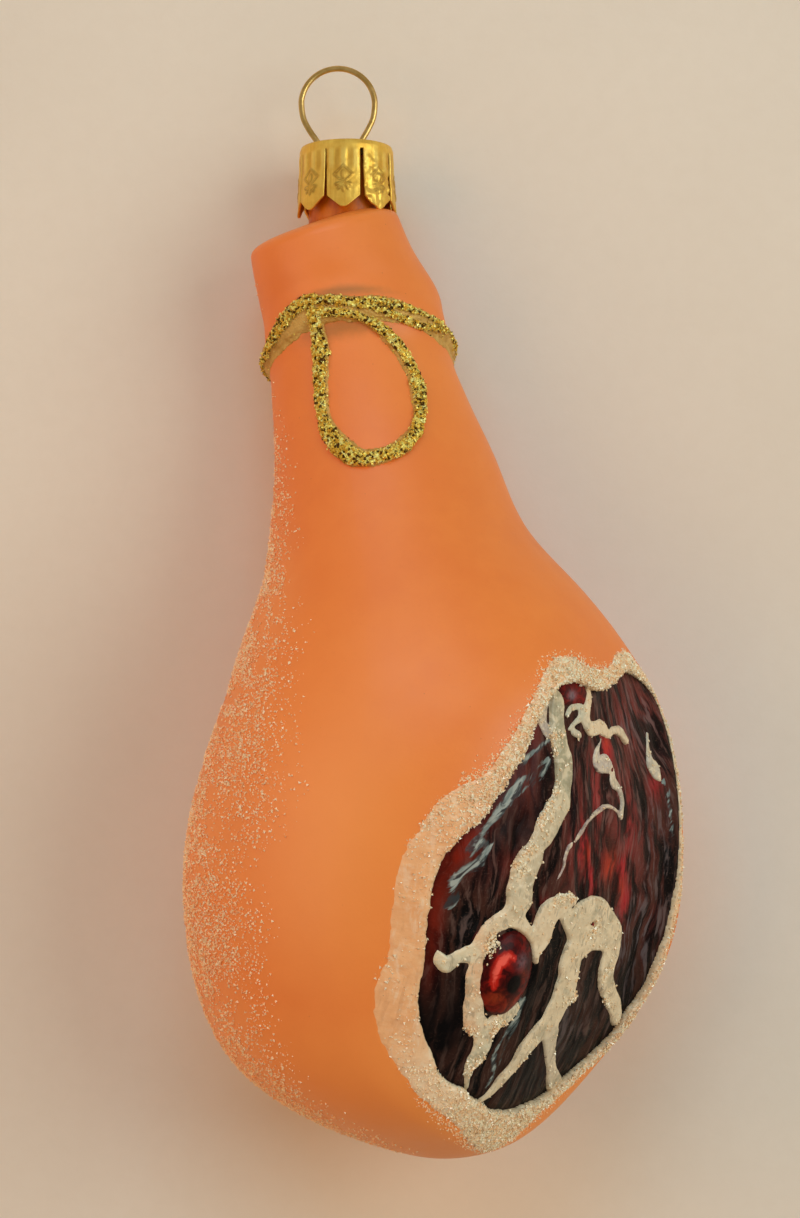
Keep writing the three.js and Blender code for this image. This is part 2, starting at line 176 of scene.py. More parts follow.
def noise(P, size, seed=0, octaves=1):
    """Smooth value noise from -1 to 1 at points P (..., 2 or 3) with features of the given size."""
    P = np.asarray(P, float)
    total, share, norm = 0.0, 1.0, 0.0
    for o in range(octaves):
        q = P / (size / 2 ** o) + seed * 17.31 + o * 5.7
        i = np.floor(q).astype(np.int64)
        f = q - i
        f = f * f * (3 - 2 * f)
        value = 0.0
        n = P.shape[-1]
        for corner in range(2 ** n):
            bits = [(corner >> k) & 1 for k in range(n)]
            weight, h = 1.0, np.full(P.shape[:-1], seed * 7919 + o * 104729, np.int64)
            for k, bit in enumerate(bits):
                weight = weight * (f[..., k] if bit else 1 - f[..., k])
                h = h * 1664525 + (i[..., k] + bit) * (374761393, 668265263, 2246822519)[k]
                h = (h ^ (h >> 15)) & 0xFFFFFFFF
            h = (h * 2654435761) & 0xFFFFFFFF
            h = h ^ (h >> 13)
            value = value + weight * ((h & 0xFFFF) / 32767.5 - 1)
        total = total + share * value
        norm += share
        share *= 0.5
    return total / norm


def ramp(x, a, b):
    t = np.clip((np.asarray(x, float) - a) / (b - a), 0, 1)
    return t * t * (3 - 2 * t)


def spline(points, step, closed=False):
    """Catmull-Rom resampling of control points whose first two or three columns are places; all columns are carried along."""
    p = np.asarray(points, float)
    if closed:
        q = np.concatenate([p[-1:], p, p[:2]])
    else:
        q = np.concatenate([2 * p[:1] - p[1:2], p, 2 * p[-1:] - p[-2:-1]])
    out = []
    for i in range(1, len(q) - 2):
        a, b, c, d = q[i - 1], q[i], q[i + 1], q[i + 2]
        n = max(1, int(math.ceil(np.linalg.norm(c[:2] - b[:2]) / step)))
        t = (np.arange(n) / n)[:, None]
        out.append(0.5 * (2 * b + (c - a) * t + (2 * a - 5 * b + 4 * c - d) * t * t + (3 * b - a - 3 * c + d) * t ** 3))
    if not closed:
        out.append(q[-2][None])
    return np.concatenate(out)


def stroke_distance(X, Y, points, step=0.35):
    """Signed distance from a brush stroke of varying half width (third column), negative inside it."""
    s = spline(points, step)
    s[:, 2] = np.maximum(s[:, 2], 0.03)
    out = np.full(X.shape, 9.0)
    reach = s[:, 2].max() + 1.6
    box = (X > s[:, 0].min() - reach) & (X < s[:, 0].max() + reach) & (Y > s[:, 1].min() - reach) & (Y < s[:, 1].max() + reach)
    x, y = X[box], Y[box]
    best = np.full(x.shape, 9.0)
    for a, b in zip(s[:-1], s[1:]):
        d = b[:2] - a[:2]
        t = np.clip(((x - a[0]) * d[0] + (y - a[1]) * d[1]) / max(d @ d, 1e-9), 0, 1)
        best = np.minimum(best, np.hypot(x - a[0] - t * d[0], y - a[1] - t * d[1]) - (a[2] + t * (b[2] - a[2])))
    out[box] = best
    return out


def outline_distance(X, Y, loop):
    """Distance from a closed outline, positive inside it."""
    x, y = X.ravel(), Y.ravel()
    best, inside = np.full(x.shape, 1e9), np.zeros(x.shape, bool)
    for a, b in zip(loop, np.roll(loop, -1, 0)):
        d = b - a
        t = np.clip(((x - a[0]) * d[0] + (y - a[1]) * d[1]) / max(d @ d, 1e-12), 0, 1)
        best = np.minimum(best, (x - a[0] - t * d[0]) ** 2 + (y - a[1] - t * d[1]) ** 2)
        if a[1] != b[1]:
            inside ^= ((a[1] > y) != (b[1] > y)) & (x < a[0] + (y - a[1]) * (b[0] - a[0]) / (b[1] - a[1]))
    return (np.sqrt(best) * np.where(inside, 1, -1)).reshape(X.shape)


def blurred(A, mask, passes):
    """Binomial blur of a grid that leaves out what the mask leaves out."""
    a, m = np.where(mask, A, 0.0), mask.astype(float)
    for _ in range(passes):
        for axis in (0, 1):
            a = (np.roll(a, 1, axis) + 2 * a + np.roll(a, -1, axis)) / 4
            m = (np.roll(m, 1, axis) + 2 * m + np.roll(m, -1, axis)) / 4
    return a / np.maximum(m, 1e-9)


def mesh_piece(name, P, faces, material, smooth=True, values=None, uv=None):
    """A mesh object from points in millimetres and a list of face arrays, each of one corner count."""
    me = bpy.data.meshes.new(name)
    P = (np.asarray(P, float) + SHIFT) / 1000
    faces = [np.asarray(f, np.int32) for f in faces if len(f)]
    me.vertices.add(len(P))
    me.vertices.foreach_set("co", P.astype(np.float32).ravel())
    corners = np.concatenate([f.ravel() for f in faces])
    sizes = np.concatenate([np.full(len(f), f.shape[1], np.int32) for f in faces])
    me.loops.add(len(corners))
    me.loops.foreach_set("vertex_index", corners)
    me.polygons.add(len(sizes))
    me.polygons.foreach_set("loop_start", np.concatenate([[0], np.cumsum(sizes)[:-1]]).astype(np.int32))
    me.polygons.foreach_set("loop_total", sizes)
    for key, v in (values or {}).items():
        v = np.asarray(v, np.float32)
        kind = "FLOAT" if v.ndim == 1 else "FLOAT_VECTOR"
        a = me.attributes.new(key, kind, "POINT")
        a.data.foreach_set("value" if v.ndim == 1 else "vector", v.ravel())
    me.update(calc_edges=True)
    me.validate()
    me.polygons.foreach_set("use_smooth", np.full(len(me.polygons), smooth))
    me.materials.append(material)
    o = bpy.data.objects.new(name, me)
    bpy.context.scene.collection.objects.link(o)
    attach(o, "root")
    return o


def slab(keep, top, bottom, wrap=False):
    """A closed shell over the kept cells of a grid of points: its points, its faces, and which grid point each came from.
    keep is per cell. With wrap the second direction closes on itself."""
    n, m = top.shape[:2]
    nc, mc = keep.shape
    i, j = np.nonzero(keep)
    jn = (j + 1) % m
    a, b, c, d = i * m + j, (i + 1) * m + j, (i + 1) * m + jn, i * m + jn
    used = np.unique(np.concatenate([a, b, c, d]))
    where = np.full(n * m, -1, np.int64)
    where[used] = np.arange(len(used))
    a, b, c, d = where[a], where[b], where[c], where[d]
    k = len(used)
    quads = [np.stack([a, b, c, d], -1), np.stack([a, d, c, b], -1) + k]
    pad = np.zeros((nc + 2, mc + 2), bool)
    pad[1:-1, 1:-1] = keep
    if wrap:
        pad[1:-1, 0], pad[1:-1, -1] = keep[:, -1], keep[:, 0]
    for (di, dj), (p, q) in {(-1, 0): (a, d), (1, 0): (c, b), (0, -1): (b, a), (0, 1): (d, c)}.items():
        edge = ~pad[1 + i + di, 1 + j + dj]
        p, q = p[edge], q[edge]
        quads.append(np.stack([q, p, p + k, q + k], -1)[:, ::-1])
    T, B = top.reshape(-1, 3)[used], bottom.reshape(-1, 3)[used]
    return np.concatenate([T, B]), [np.concatenate(quads)], used


def lathe(origin, axis, side, profile, n):
    """A closed ring-shaped solid: a closed profile of (radius, height) turned round an axis."""
    up = np.cross(side, axis)
    w = np.arange(n) * (2 * math.pi / n)
    pts = np.asarray(profile, float)
    P = origin + pts[:, None, 0:1] * (np.cos(w)[None, :, None] * side + np.sin(w)[None, :, None] * up) + pts[:, None, 1:2] * axis
    k = len(pts)
    i, j = np.meshgrid(np.arange(k), np.arange(n), indexing="ij")
    a, b, c, d = i * n + j, ((i + 1) % k) * n + j, ((i + 1) % k) * n + (j + 1) % n, i * n + (j + 1) % n
    return P.reshape(-1, 3), [np.stack([a, d, c, b], -1).reshape(-1, 4)]


def chips(P, N, size, thick, tilt, corners=5, lift=0.0):
    """Thin many-cornered closed flakes lying roughly on a surface, thickest in the middle."""
    n = len(P)
    Z = unit(N + tilt * rng.normal(size=(n, 3)))
    X = unit(np.cross(Z, unit(rng.normal(size=(n, 3)))))
    Y = np.cross(Z, X)
    s = size * (0.55 + 0.9 * rng.random((n, 1)))
    w = (np.arange(corners)[None] + 0.55 * (rng.random((n, corners)) - 0.5)) * (2 * math.pi / corners)
    r = s * (0.75 + 0.5 * rng.random((n, corners))) / 2
    long = 1 + 0.35 * rng.random((n, 1))
    middle = (P + lift * Z)[:, None]
    edge = middle + (r * long * np.cos(w))[..., None] * X[:, None] + (r / long * np.sin(w))[..., None] * Y[:, None]
    V = np.concatenate([edge, middle + Z[:, None] * thick / 2, middle - Z[:, None] * thick / 2], 1).reshape(-1, 3)
    k = np.arange(corners)
    over = np.stack([k, (k + 1) % corners, np.full(corners, corners)], -1)
    under = np.stack([(k + 1) % corners, k, np.full(corners, corners + 1)], -1)
    base = (np.arange(n) * (corners + 2))[:, None, None]
    return V, [(base + np.concatenate([over, under])[None]).reshape(-1, 3)]


def specks(P, N, size, lift=0.3):
    """Very small closed crumbs with four faces."""
    n = len(P)
    Z = unit(N + 0.6 * rng.normal(size=(n, 3)))
    X = unit(np.cross(Z, unit(rng.normal(size=(n, 3)))))
    Y = np.cross(Z, X)
    s = 1.25 * size * (0.45 + 1.1 * rng.random((n, 1)) ** 1.5) / 2
    k = 0.65 + 0.7 * rng.random((n, 4, 1))
    low = -0.35 * Z
    V = np.stack([X + low, -0.5 * X + 0.87 * Y + low, -0.5 * X - 0.87 * Y + low, Z * 0.8], 1) * s[:, None] * k + (P + N * s * lift)[:, None]
    f = np.array([(0, 1, 3), (1, 2, 3), (2, 0, 3), (0, 2, 1)])
    return V.reshape(-1, 3), [((np.arange(n) * 4)[:, None, None] + f[None]).reshape(-1, 3)]


def grains(P, N, size, lift=0.3):
    """Small closed crumbs with eight faces."""
    n = len(P)
    Z = unit(N + 0.5 * rng.normal(size=(n, 3)))
    X = unit(np.cross(Z, unit(rng.normal(size=(n, 3)))))
    Y = np.cross(Z, X)
    s = size * (0.45 + 1.1 * rng.random((n, 1)) ** 1.5) / 2
    k = 0.6 + 0.8 * rng.random((n, 6, 1))
    V = np.stack([X, Y, -X, -Y, Z * 0.8, -Z * 0.8], 1) * s[:, None] * k + (P + N * s * lift)[:, None]
    f = np.array([(0, 1, 4), (1, 2, 4), (2, 3, 4), (3, 0, 4), (1, 0, 5), (2, 1, 5), (3, 2, 5), (0, 3, 5)])
    return V.reshape(-1, 3), [((np.arange(n) * 6)[:, None, None] + f[None]).reshape(-1, 3)]


def seen_from_above(P):
    """Where a point shows in plan to an eye 400 mm over a plane at 22 mm, in millimetres."""
    k = 400.0 / (422.0 - P[..., 2])
    return P[..., 0] * k, P[..., 1] * k


EYE = np.array([0.0, 0.0, 422.0])


# ================================================================ materials
def linear(r, g, b):
    return tuple(((c / 255 + 0.055) / 1.055) ** 2.4 if c > 10 else c / 255 / 12.92 for c in (r, g, b)) + (1.0,)


class Shader:
    """A short way to write a node material round one Principled shader."""

    def __init__(self, name, **sockets):
        self.mat = bpy.data.materials.new(name)
        self.mat.use_nodes = True
        self.nt = self.mat.node_tree
        self.out = self.nt.nodes["Material Output"]
        self.bsdf = self.nt.nodes["Principled BSDF"]
        for key, value in sockets.items():
            self.bsdf.inputs[key.replace("_", " ")].default_value = value
        self.places = {}

    def node(self, kind, inputs=None, **props):
        n = self.nt.nodes.new(kind)
        for k, v in props.items():
            setattr(n, k, v)
        for k, v in (inputs or {}).items():
            self.put(n.inputs[k], v)
        return n

    def put(self, socket, value):
        if isinstance(value, bpy.types.NodeSocket):
            self.nt.links.new(value, socket)
        else:
            socket.default_value = value

    def attribute(self, name, vector=False):
        n = self.node("ShaderNodeAttribute", attribute_name=name)
        return n.outputs["Vector" if vector else "Fac"]

    def place(self, scale=(1, 1, 1), name=None):
        """Places for a pattern, in units of a millimetre: the piece's own, or an attribute's."""
        key = (tuple(scale), name)
        if key not in self.places:
            if name is None:
                src, k = self.node("ShaderNodeTexCoord").outputs["Object"], 1000.0
            else:
                src, k = self.attribute(name, True), 1.0
            m = self.node("ShaderNodeMapping", {"Vector": src, "Scale": tuple(s * k for s in scale)})
            self.places[key] = m.outputs["Vector"]
        return self.places[key]

    def noise(self, size, detail=2.0, rough=0.5, scale=(1, 1, 1), name=None, distortion=0.0):
        n = self.node("ShaderNodeTexNoise", {"Vector": self.place(scale, name), "Scale": 1.0 / size, "Detail": detail, "Roughness": rough, "Distortion": distortion})
        return n.outputs["Fac"]

    def cells(self, size, scale=(1, 1, 1), name=None, feature="F1"):
        return self.node("ShaderNodeTexVoronoi", {"Vector": self.place(scale, name), "Scale": 1.0 / size}, feature=feature)

    def step(self, value, a, b, lo=0.0, hi=1.0):
        n = self.node("ShaderNodeMapRange", {"Value": value, "From Min": a, "From Max": b, "To Min": lo, "To Max": hi}, interpolation_type="SMOOTHSTEP")
        return n.outputs["Result"]

    def span(self, value, a, b, lo=0.0, hi=1.0):
        n = self.node("ShaderNodeMapRange", {"Value": value, "From Min": a, "From Max": b, "To Min": lo, "To Max": hi})
        return n.outputs["Result"]

    def math(self, op, a, b=0.0):
        n = self.node("ShaderNodeMath", operation=op)
        self.put(n.inputs[0], a)
        self.put(n.inputs[1], b)
        return n.outputs[0]

    def mix(self, fac, a, b, blend="MIX"):
        n = self.node("ShaderNodeMix", data_type="RGBA", blend_type=blend)
        self.put(n.inputs["Factor"], fac)
        self.put(n.inputs[6], a)
        self.put(n.inputs[7], b)
        return n.outputs[2]

    def bump(self, *layers):
        """Bump from (height, distance in mm) pairs, one over the other."""
        normal = None
        for height, distance in layers:
            n = self.node("ShaderNodeBump", {"Height": height, "Distance": distance / 1000.0, "Strength": 1.0})
            if normal is not None:
                self.put(n.inputs["Normal"], normal)
            normal = n.outputs["Normal"]
        self.put(self.bsdf.inputs["Normal"], normal)
        return normal

    def set(self, **sockets):
        for key, value in sockets.items():
            self.put(self.bsdf.inputs[key.replace("_", " ")], value)
        return self.mat


# ---------------------------------------------------------------- skin: satin orange lacquer
def make_skin():
    s = Shader("skin_lacquer", Roughness=0.46, IOR=1.45)
    s.bsdf.inputs["Coat Weight"].default_value = 0.12
    s.bsdf.inputs["Coat Roughness"].default_value = 0.38
    broad = s.noise(0.019 * 1000, 3, 0.5)
    cloud = s.noise(6.0, 4, 0.6)
    fine = s.noise(0.55, 3, 0.6)
    c = s.mix(s.step(broad, 0.32, 0.7), linear(239, 124, 46), linear(245, 132, 50))
    c = s.mix(s.step(cloud, 0.35, 0.75, 0, 0.4), c, linear(250, 140, 56))
    c = s.mix(s.step(fine, 0.55, 0.8, 0, 0.16), c, linear(226, 108, 40))
    speck = s.cells(2.4)
    c = s.mix(s.step(speck.outputs["Distance"], 0.045, 0.02, 0, 0.45), c, linear(178, 82, 34))
    # painted light: the top of the belly and the bottom end are mixed toward a lighter, yellower orange
    c = s.mix(s.math("MULTIPLY", s.attribute("painted_light"), 0.6), c, linear(255, 160, 74))
    # gold overspray below the cord and a painted shadow just above it, mixed toward a dull olive-brown
    gold = s.attribute("gilt_and_shadow")
    c = s.mix(s.math("MULTIPLY", s.step(s.math("ADD", gold, s.span(s.noise(0.8, 3), 0, 1, -0.12, 0.12)), 0.05, 0.9), 0.75), c, linear(166, 106, 42))
    haze = s.attribute("haze")
    wisps = s.math("MULTIPLY", haze, s.span(s.noise(1.1, 4, 0.7), 0.2, 0.8, 0.25, 1.0))
    c = s.mix(s.math("MULTIPLY", wisps, 0.5), c, linear(242, 172, 106))
    s.set(Base_Color=c, Roughness=s.span(s.noise(2.4, 3), 0.2, 0.8, 0.42, 0.52))
    s.bump((s.noise(0.35, 2), 0.010), (s.noise(1.6, 3), 0.02), (s.noise(7.0, 2), 0.05))
    return s.mat


def make_neck():
    s = Shader("neck_glass", Roughness=0.38, IOR=1.35)
    s.bsdf.inputs["Coat Weight"].default_value = 0.04
    s.bsdf.inputs["Coat Roughness"].default_value = 0.12
    drips = s.noise(1.3, 3, 0.6, scale=(1, 0.35, 1))
    c = s.mix(s.step(drips, 0.3, 0.7), linear(176, 84, 1), linear(206, 110, 4))
    s.set(Base_Color=c)
    s.bump((s.noise(1.0, 2), 0.03))
    return s.mat


# ---------------------------------------------------------------- fat: cream paint over a grainy ground
def make_fat(name, marbling):
    s = Shader(name, Roughness=0.5, IOR=1.45)
    s.bsdf.inputs["Coat Weight"].default_value = 0.25
    s.bsdf.inputs["Coat Roughness"].default_value = 0.25
    face = "face"
    cloud = s.noise(2.6, 4, 0.6, name=face)
    fine = s.noise(0.5, 4, 0.65, name=face)
    streak = s.noise(0.8, 4, 0.6, scale=(1, 0.16, 1), name=face, distortion=0.4)
    grain = s.attribute("grain")
    if marbling:
        hue = s.attribute("paint", True)
        hue = s.mix(0.3, hue, linear(228, 188, 142))
        patch = s.noise(1.9, 3, 0.5, name=face, distortion=0.9)
        c = s.mix(s.step(patch, 0.48, 0.60, 0, 0.55), hue, linear(250, 222, 178))
        brushed = s.noise(0.9, 3, 0.55, scale=(1, 0.35, 1), name=face, distortion=1.6)
        c = s.mix(s.step(brushed, 0.55, 0.64, 0, 0.5), c, linear(150, 132, 104))
        c = s.mix(s.step(s.noise(2.6, 3, 0.6, name=face), 0.52, 0.68, 0, 0.5), c, linear(160, 150, 118))
        thin = s.attribute("thin")
        worn = s.math("ADD", s.noise(1.0, 4, 0.6, name=face), s.span(thin, 0, 1, -0.24, 0.26))
        c = s.mix(s.step(worn, 0.58, 0.72, 0, 0.7), c, linear(84, 62, 54))
    else:
        warm = s.attribute("warm")
        c = s.mix(s.step(cloud, 0.3, 0.72), linear(244, 192, 138), linear(254, 208, 154))
        peach = s.mix(s.step(cloud, 0.3, 0.72), linear(240, 170, 108), linear(252, 190, 130))
        c = s.mix(warm, c, peach)
        c = s.mix(s.step(streak, 0.54, 0.66, 0, 0.36), c, linear(214, 146, 92))
        c = s.mix(s.step(streak, 0.44, 0.34, 0, 0.3), c, linear(250, 226, 190))
        c = s.mix(s.math("MULTIPLY", s.attribute("pale"), 0.65), c, linear(255, 232, 192))
        c = s.mix(s.math("MULTIPLY", s.attribute("dim"), 0.6), c, linear(204, 138, 88))
        # painted shade: the inner lip next to the meat is mixed toward a grey-green
        c = s.mix(s.math("MULTIPLY", s.attribute("lip_shade"), 0.45), c, linear(196, 186, 150))
    # glitter ground: pale and dark specks, denser where the grain is
    dots = s.cells(0.36, name=face)
    pale = s.step(s.node("ShaderNodeSeparateColor", {"Color": dots.outputs["Color"]}).outputs[0], 0.62, 0.9)
    dark = s.step(s.node("ShaderNodeSeparateColor", {"Color": dots.outputs["Color"]}).outputs[1], 0.74, 0.92)
    c = s.mix(s.math("MULTIPLY", s.math("MULTIPLY", pale, grain), 0.6), c, linear(255, 240, 204))
    c = s.mix(s.math("MULTIPLY", s.math("MULTIPLY", dark, grain), 0.22), c, linear(196, 150, 96))
    tiny = s.cells(0.9, name=face)
    c = s.mix(s.step(tiny.outputs["Distance"], 0.07, 0.04, 0, 0.5), c, linear(132, 100, 66))
    s.set(Base_Color=c, Roughness=s.span(fine, 0.2, 0.8, 0.36, 0.6))
    s.bump((fine, 0.05), (cloud, 0.10))
    return s.mat


# ---------------------------------------------------------------- meat: dark glossy lacquer brushed in streaks
def make_meat():
    s = Shader("meat_lacquer", Roughness=0.34, IOR=1.42)
    s.bsdf.inputs["Specular IOR Level"].default_value = 0.10
    s.bsdf.inputs["Coat Weight"].default_value = 0.04
    s.bsdf.inputs["Coat Roughness"].default_value = 0.22
    f = "fibre"
    bark = s.noise(1.8, 4, 0.55, scale=(1, 0.24, 1), name=f, distortion=0.35)
    hair = s.noise(0.85, 4, 0.6, scale=(1, 0.2, 1), name=f, distortion=0.25)
    wide = s.noise(1.5, 3, 0.55, scale=(1, 0.3, 1), name=f, distortion=0.6)
    blot = s.noise(2.4, 3, 0.55, scale=(1, 0.6, 1), name=f)
    grit = s.noise(0.3, 3, 0.7, name=f)
    c = s.mix(s.step(bark, 0.44, 0.60), linear(5, 2, 1), linear(62, 34, 24))
    c = s.mix(s.step(hair, 0.52, 0.66, 0, 0.6), c, linear(108, 80, 68))
    c = s.mix(s.step(grit, 0.56, 0.68, 0, 0.45), c, linear(104, 76, 62))
    # mauve and red-brown tissue, partly a painted sheen of reflected light toward the upper right
    mauve_and_sheen = s.mix(s.step(bark, 0.40, 0.56), linear(40, 9, 7), linear(126, 54, 46))
    mauve_and_sheen = s.mix(s.step(hair, 0.53, 0.64, 0, 0.6), mauve_and_sheen, linear(154, 98, 88))
    mauve_and_sheen = s.mix(s.step(hair, 0.47, 0.38, 0, 0.7), mauve_and_sheen, linear(20, 5, 4))
    mauve_and_sheen = s.mix(s.step(grit, 0.42, 0.30, 0, 0.5), mauve_and_sheen, linear(30, 8, 6))
    c = s.mix(s.math("MULTIPLY", s.attribute("mauve_and_sheen"), s.step(s.math("ADD", wide, s.span(blot, 0, 1, -0.2, 0.2)), 0.25, 0.55, 0.3, 1.0)), c, mauve_and_sheen)
    # painted sheen: grey streaks of reflected light, mostly on the right of the face
    painted_sheen = s.math("MULTIPLY", s.attribute("painted_sheen"), s.step(hair, 0.5, 0.62))
    c = s.mix(painted_sheen, c, linear(98, 88, 88))
    # reds
    red = s.mix(s.step(bark, 0.44, 0.58), linear(70, 6, 6), linear(190, 42, 46))
    red = s.mix(s.step(hair, 0.48, 0.38, 0, 0.8), red, linear(26, 4, 3))
    k = s.math("MULTIPLY", s.attribute("red"), s.step(s.math("ADD", bark, s.span(blot, 0, 1, -0.15, 0.15)), 0.38, 0.54, 0.15, 1.0))
    c = s.mix(k, c, red)
    ember = s.math("MULTIPLY", s.attribute("ember"), s.step(hair, 0.34, 0.6, 0.2, 1.0))
    c = s.mix(ember, c, linear(206, 62, 34))
    rust = s.math("MULTIPLY", s.attribute("rust"), s.step(bark, 0.28, 0.62, 0.45, 1.0))
    c = s.mix(rust, c, linear(124, 30, 12))
    # near-black patches, and painted shade along the foot of the rim where the meat meets it
    dark_and_edge_shade = s.attribute("dark_and_edge_shade")
    c = s.mix(s.math("MULTIPLY", dark_and_edge_shade, s.step(wide, 0.3, 0.6, 0.55, 1.0)), c, linear(6, 3, 3))
    # thin pale smears brushed over the dark
    along_u = s.noise(1.1, 3, 0.5, scale=(0.35, 1, 1), name="brush", distortion=1.2)
    fleck = s.noise(0.9, 4, 0.55, scale=(0.3, 1, 1), name="brush", distortion=0.8)
    there = s.attribute("smear")
    veil = s.step(s.math("ADD", along_u, s.span(there, 0, 1, -0.30, 0.06)), 0.40, 0.56)
    c = s.mix(s.math("MULTIPLY", veil, 0.75), c, s.mix(s.step(fleck, 0.4, 0.6), linear(52, 60, 60), linear(122, 134, 128)))
    thick = s.step(s.math("ADD", fleck, s.span(there, 0, 1, -0.34, 0.04)), 0.47, 0.58)
    c = s.mix(thick, c, s.mix(s.step(along_u, 0.4, 0.6), linear(122, 132, 124), linear(170, 172, 158)))
    s.set(Base_Color=c, Roughness=s.span(bark, 0.2, 0.8, 0.24, 0.46))
    s.bump((hair, 0.10), (bark, 0.2))
    return s.mat


def make_bone():
    s = Shader("bone_lacquer", Roughness=0.34, IOR=1.4)
    s.bsdf.inputs["Specular IOR Level"].default_value = 0.12
    s.bsdf.inputs["Coat Weight"].default_value = 0.04
    s.bsdf.inputs["Coat Roughness"].default_value = 0.10
    cloud = s.noise(1.1, 3, 0.55, name="face", distortion=0.8)
    fine = s.noise(0.4, 3, 0.6, name="face")
    c = s.mix(s.step(cloud, 0.36, 0.64), linear(58, 3, 3), linear(116, 16, 10))
    c = s.mix(s.math("MULTIPLY", s.attribute("amber"), s.step(cloud, 0.3, 0.6, 0.3, 1.0)), c, linear(158, 60, 28))
    # painted highlight: a bright red streak across the bone stands for light caught in the glossy red lacquer
    painted_highlight = s.math("ADD", s.attribute("painted_highlight"), s.span(cloud, 0.3, 0.7, -0.2, 0.2))
    c = s.mix(s.step(painted_highlight, 0.10, 0.55), c, linear(196, 36, 22))
    c = s.mix(s.step(painted_highlight, 0.58, 0.95), c, linear(255, 100, 80))
    # darker patches on the bone, and the knob darker towards its lower edge
    c = s.mix(s.math("MULTIPLY", s.attribute("darkened"), s.step(cloud, 0.2, 0.5, 0.8, 1.0)), c, linear(10, 4, 3))
    # painted sheen: pinkish-grey patches of reflected light on the bone and the knob
    c = s.mix(s.math("MULTIPLY", s.attribute("sheen_patch"), s.step(fine, 0.3, 0.6, 0.4, 1.0)), c, linear(150, 122, 124))
    s.set(Base_Color=c)
    s.bump((cloud, 0.05))
    return s.mat


# ---------------------------------------------------------------- gold
def make_gold():
    s = Shader("cord_gold", Roughness=0.5, Metallic=0.4)
    fine = s.noise(0.22, 4, 0.7)
    cloud = s.noise(1.2, 3, 0.6)
    paint = s.mix(s.step(cloud, 0.3, 0.7), linear(202, 152, 66), linear(228, 184, 98))
    paint = s.mix(s.step(fine, 0.55, 0.8, 0, 0.5), paint, linear(232, 206, 146))
    # the dark speckle in the glue is partly painted shade between the glitter grains
    glue = s.mix(s.step(fine, 0.42, 0.58), linear(84, 54, 8), linear(210, 174, 62))
    c = s.mix(s.attribute("glitter"), paint, glue)
    s.set(Base_Color=c, Roughness=s.span(fine, 0.2, 0.8, 0.34, 0.6))
    s.bump((fine, 0.08), (s.cells(0.3).outputs["Distance"], 0.06))
    return s.mat


def make_flake_gold():
    s = Shader("glitter_gold", Roughness=0.28, Metallic=0.4)
    s.bsdf.inputs["Specular IOR Level"].default_value = 0.2
    one = s.cells(0.31)
    pick = s.node("ShaderNodeSeparateColor", {"Color": one.outputs["Color"]}).outputs[0]
    # each flake gets a random tone: the dark ones are painted shade between flakes, the brightest are painted glints
    c = s.mix(s.step(pick, 0.15, 0.21), linear(92, 56, 8), linear(236, 188, 64))
    c = s.mix(s.step(pick, 0.50, 0.62), c, linear(255, 236, 120))
    c = s.mix(s.step(pick, 0.88, 0.93), c, linear(255, 246, 152))
    s.set(Base_Color=c)
    return s.mat


def make_dust():
    s = Shader("pale_dust", Roughness=0.4)
    s.bsdf.inputs["Coat Weight"].default_value = 0.3
    pick = s.node("ShaderNodeSeparateColor", {"Color": s.cells(0.4).outputs["Color"]}).outputs[1]
    c = s.mix(s.step(pick, 0.2, 0.8), linear(255, 198, 136), linear(255, 228, 180))
    s.set(Base_Color=c)
    return s.mat


def make_crystal():
    s = Shader("clear_glitter", Roughness=0.12, IOR=1.6)
    s.bsdf.inputs["Coat Weight"].default_value = 0.6
    s.bsdf.inputs["Coat Roughness"].default_value = 0.05
    pick = s.node("ShaderNodeSeparateColor", {"Color": s.cells(0.35).outputs["Color"]})
    c = s.mix(s.step(pick.outputs[0], 0.2, 0.7), linear(250, 208, 154), linear(255, 240, 202))
    c = s.mix(s.step(pick.outputs[1], 0.90, 0.98, 0, 0.6), c, linear(186, 146, 96))
    s.set(Base_Color=c)
    return s.mat


def make_cap():
    s = Shader("cap_brass", Roughness=0.42, Metallic=0.8)
    drawn = s.noise(0.5, 4, 0.6, scale=(1, 0.06, 1), name="sheet")
    cloud = s.noise(1.6, 3, 0.6)
    c = s.mix(s.step(cloud, 0.3, 0.7), linear(236, 186, 74), linear(250, 208, 94))
    c = s.mix(s.step(drawn, 0.5, 0.72, 0, 0.5), c, linear(206, 152, 54))
    # painted light and shade: the pleated panels lighter where raised, darker where sunk
    c = s.mix(s.span(s.attribute("pleat_light_and_shade"), 0.2, 1.0, 0, 0.5), c, linear(255, 226, 122))
    c = s.mix(s.span(s.attribute("pleat_light_and_shade"), -0.2, -1.0, 0, 0.4), c, linear(190, 136, 44))
    # painted shade along the edges of the embossing
    c = s.mix(s.math("MULTIPLY", s.attribute("emboss_shade"), 0.6), c, linear(142, 96, 30))
    s.set(Base_Color=c, Roughness=s.span(drawn, 0.2, 0.8, 0.36, 0.52))
    s.bump((drawn, 0.03), (s.noise(0.5, 3), 0.03))
    return s.mat


def make_wire():
    s = Shader("wire_brass", Roughness=0.32, Metallic=1.0)
    drawn = s.noise(0.3, 4, 0.6)
    c = s.mix(s.step(s.noise(1.4, 3), 0.3, 0.7), linear(196, 158, 86), linear(222, 186, 116))
    s.set(Base_Color=c, Roughness=s.span(drawn, 0.2, 0.8, 0.26, 0.42))
    s.bump((drawn, 0.02))
    return s.mat


# ================================================================ leg
BAND_W = 1.75


def band_offset(u, w):
    """How far along the shank a point is from the middle of the moulded cord."""
    return u - (BAND_ARC[0] + BAND_ARC[1] * np.cos(w) + BAND_ARC[2] * np.sin(w))


